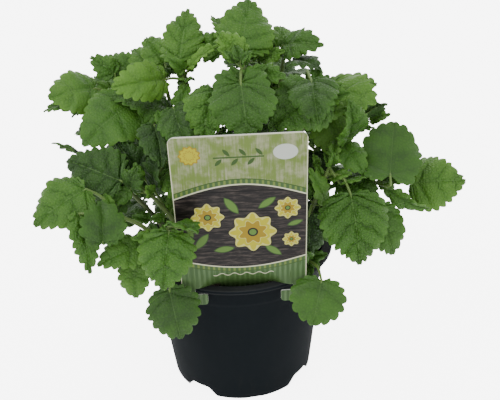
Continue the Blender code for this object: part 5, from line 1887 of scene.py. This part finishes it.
def make_crumble():
    """Geometry Nodes: roughens the top of the soil and strews crumbs and pale grains on it."""
    tree, inputs, outputs = new_modifier_tree("crumbly soil", ("Crumb", "Density"), ("Soil", "Grit"))
    place = add_node(tree, "GeometryNodeInputPosition").outputs[0]
    normal = add_node(tree, "GeometryNodeInputNormal").outputs[0]
    upward = split(normal)[2]
    x, y = split(place)[:2]
    near = calc("SQRT", plus(times(x, x), times(y, y)))
    free = times(step(upward, 0.4, 0.8), step(near, *CRUMBLE_EDGE))
    lumps = noise(place, 160.0, 5.0, 0.65)
    rise = times(minus(lumps, 0.55), CRUMBLE_HEIGHT)
    ground = move_points(inputs["Geometry"], gather(0.0, 0.0, times(rise, free)))
    parts = []
    for share, size, seed, material in STREWN:
        amount = times(times(inputs["Density"], share), free)
        scatter = {"Mesh": ground, "Density": amount, "Seed": seed}
        spots = fed_node("GeometryNodeDistributePointsOnFaces", scatter).outputs[0]
        ball = {"Radius": 1.0, "Subdivisions": 1}
        lump = add_node(tree, "GeometryNodeMeshIcoSphere", ball).outputs[0]
        radius = times(some_number(tree, *CRUMB_SIZES, seed), inputs["Crumb"])
        radius = times(radius, size)
        turn = add_node(tree, "FunctionNodeRandomValue", {1: (math.tau,) * 3, "Seed": seed + 9},
                        data_type="FLOAT_VECTOR").outputs[0]
        turn = fed_node("FunctionNodeEulerToRotation", {0: turn}).outputs[0]
        sizes = gather(radius, *(times(radius, flat) for flat in CRUMB_FLAT))
        crumbs = strew(spots, lump, turn, sizes)
        jag = fed_node("ShaderNodeTexNoise", {"Vector": place, "Scale": 1400.0}).outputs[1]
        jag = vector_calc("SUBTRACT", {0: jag, 1: (0.5, 0.5, 0.5)})[0]
        jag = vector_calc("SCALE", {0: jag, "Scale": JAG})[0]
        parts.append(clad(move_points(crumbs, jag), inputs[material]))
    parts.append(clad(ground, inputs["Soil"]))
    tree.links.new(join_all(parts), outputs["Geometry"])
    return tree


def soil_material(looks):
    material, tree, surface = new_material("soil", 0.92)
    place = own_place(tree)
    patches = noise(place, 420.0, 4.0, 0.7)
    colour = blend(step(patches, 0.50, 0.72), looks.peat, looks.bark)
    lumps = noise(place, 900.0, 5.0, 0.7)
    connect(surface, Base_Color=colour, Normal=bump(0.8, 0.0006, lumps))
    return material


def grit_material(looks):
    material, tree, surface = new_material("grit", 0.8)
    patches = noise(own_place(tree), 900.0, 3.0)
    colour = blend(step(patches, 0.4, 0.7), looks.grit, (0.40, 0.36, 0.30, 1))
    connect(surface, Base_Color=colour)
    return material


class LEMONBALM_OT_soil(bpy.types.Operator):
    """Makes the plug of soil, with crumbs and pale grains on its top"""

    bl_idname = "lemonbalm.soil"
    bl_label = "Soil"

    def execute(self, context):
        looks = context.scene.lemonbalm_soil
        floor = CHANNEL["height"] + WALL + GAP

        def inner(height):
            return wall_radius(height) - WALL - 2 * GAP

        rim = SOIL_TOP - 1
        edge = inner(rim)
        profile = [(0, floor), (inner(floor), floor), (inner(40), 40), (edge, 70), (edge, rim)]
        for k in range(1, HEAP_RINGS):
            share = 1 - k / HEAP_RINGS
            profile.append((edge * share, rim + (SOIL_HEAP + 1) * (1 - share ** 2)))
        profile.append((0, SOIL_TOP + SOIL_HEAP))
        materials = [soil_material(looks), grit_material(looks)]
        soil = put_mesh("soil_plug", *revolve(profile, 120), materials)
        add_modifier(soil, make_crumble(), {"Crumb": looks.crumb, "Density": looks.density,
                                            "Soil": materials[0], "Grit": materials[1]})
        settle_modifiers(soil)
        finish_piece(soil, 40, "soil")
        return {"FINISHED"}


# ---------------------------------------------------------------- stage and camera

CAMERA_PLACE = Vector((0.0, -0.4339, 0.3317))
CAMERA_DOWN = math.radians(26.24)
CAMERA_RIGHT = math.radians(1.22)
CAMERA_ROLL = math.radians(2.28)
CAMERA_LENS = 56.16
SENSOR = 36.0

# The floor in millimetres: its half width, its front and back edge, the cove's radius, and the top
# of the backdrop. Then each light's name, place, the height that it aims at and its size, in metres.
STAGE_HALF = 2200
STAGE_FRONT = -1500
STAGE_BACK = 900
COVE = 500
BACKDROP_TOP = 2200
KEY_LIGHT = ("key light", (-0.55, -0.70, 1.15), 0.13, 0.7)
FILL_LIGHT = ("fill light", (0.85, -0.75, 0.70), 0.12, 0.9)
RIM_LIGHT = ("rim light", (0.30, 0.90, 0.90), 0.15, 0.8)


def add_light(name, place, aim, size, power):
    """A soft square light that looks at a height above the middle of the floor."""
    lamp = bpy.data.lights.new(name, "AREA")
    lamp.energy = power
    lamp.size = size
    obj = bpy.data.objects.new(name, lamp)
    obj.location = place
    obj.rotation_euler = (Vector((0, 0, aim)) - Vector(place)).to_track_quat("-Z", "Y").to_euler()
    bpy.context.scene.collection.objects.link(obj)


def add_camera():
    data = bpy.data.cameras.new("camera")
    data.lens = CAMERA_LENS
    data.sensor_width = SENSOR
    camera = bpy.data.objects.new("camera", data)
    ahead = Vector((math.sin(CAMERA_RIGHT) * math.cos(CAMERA_DOWN),
                    math.cos(CAMERA_RIGHT) * math.cos(CAMERA_DOWN), -math.sin(CAMERA_DOWN)))
    right = Vector((math.cos(CAMERA_RIGHT), -math.sin(CAMERA_RIGHT), 0))
    up = right.cross(ahead)
    rolled = right * math.cos(CAMERA_ROLL) - up * math.sin(CAMERA_ROLL)
    over = right * math.sin(CAMERA_ROLL) + up * math.cos(CAMERA_ROLL)
    camera.matrix_world = Matrix((rolled, over, -ahead)).transposed().to_4x4()
    camera.location = CAMERA_PLACE
    bpy.context.scene.collection.objects.link(camera)
    bpy.context.scene.camera = camera


class LEMONBALM_OT_stage(bpy.types.Operator):
    """Makes a pale floor that rises to a backdrop, soft lights and the camera"""

    bl_idname = "lemonbalm.stage"
    bl_label = "Stage"

    def execute(self, context):
        looks = context.scene.lemonbalm_stage
        line = [(STAGE_FRONT, 0), (STAGE_BACK, 0)]
        for turn in np.linspace(0.1, math.pi / 2, 12):
            line.append((STAGE_BACK + COVE * math.sin(turn), COVE - COVE * math.cos(turn)))
        line.append((STAGE_BACK + COVE, BACKDROP_TOP))
        points = [(x, y, z) for y, z in line for x in (-STAGE_HALF, STAGE_HALF)]
        faces = [(k, k + 1, k + 3, k + 2) for k in range(0, 2 * len(line) - 2, 2)]
        material, tree, surface = new_material(
            "stage", 0.9, Base_Color=looks.floor, Emission_Color=looks.floor)
        seen = add_node(tree, "ShaderNodeLightPath").outputs["Is Camera Ray"]
        connect(surface, Emission_Strength=times_plus(seen, looks.seen_glow, looks.glow))
        floor = put_mesh("stage", points, faces, [material])
        floor.data.shade_smooth()
        world = bpy.data.worlds.new("even light")
        world.use_nodes = True
        background = world.node_tree.nodes["Background"]
        background.inputs["Color"].default_value = (1, 1, 1, 1)
        seen = add_node(world.node_tree, "ShaderNodeLightPath").outputs["Is Camera Ray"]
        connect(background, Strength=times_plus(seen, looks.seen_glow, looks.sky))
        context.scene.world = world
        add_light(*KEY_LIGHT, looks.key)
        add_light(*FILL_LIGHT, looks.fill)
        add_light(*RIM_LIGHT, looks.fill)
        add_camera()
        return {"FINISHED"}


# ---------------------------------------------------------------- the add-on


class LEMONBALM_PT_pieces(bpy.types.Panel):
    """Lists the pieces in the order that they are made"""

    bl_label = "Lemon balm"
    bl_idname = "LEMONBALM_PT_pieces"
    bl_space_type = "VIEW_3D"
    bl_region_type = "UI"
    bl_category = "Lemon balm"

    def draw(self, context):
        for operator in OPERATORS:
            self.layout.operator(operator.bl_idname)


SETTINGS = {
    "lemonbalm_leaf": LeafSettings,
    "lemonbalm_stem": StemSettings,
    "lemonbalm_pot": PotSettings,
    "lemonbalm_label": LabelSettings,
    "lemonbalm_soil": SoilSettings,
    "lemonbalm_stage": StageSettings,
}
OPERATORS = (
    LEMONBALM_OT_pot,
    LEMONBALM_OT_soil,
    LEMONBALM_OT_label,
    LEMONBALM_OT_leafy_stems,
    LEMONBALM_OT_stage,
)
CLASSES = (*SETTINGS.values(), *OPERATORS, LEMONBALM_PT_pieces)


def register():
    for each in CLASSES:
        bpy.utils.register_class(each)
    for name, settings in SETTINGS.items():
        setattr(bpy.types.Scene, name, PointerProperty(type=settings))


def unregister():
    for name in SETTINGS:
        delattr(bpy.types.Scene, name)
    for each in reversed(CLASSES):
        bpy.utils.unregister_class(each)


def main():
    register()
    bpy.ops.lemonbalm.pot()
    bpy.ops.lemonbalm.soil()
    bpy.ops.lemonbalm.label()
    bpy.ops.lemonbalm.leafy_stems()
    bpy.ops.lemonbalm.stage()


if __name__ == "__main__":
    main()
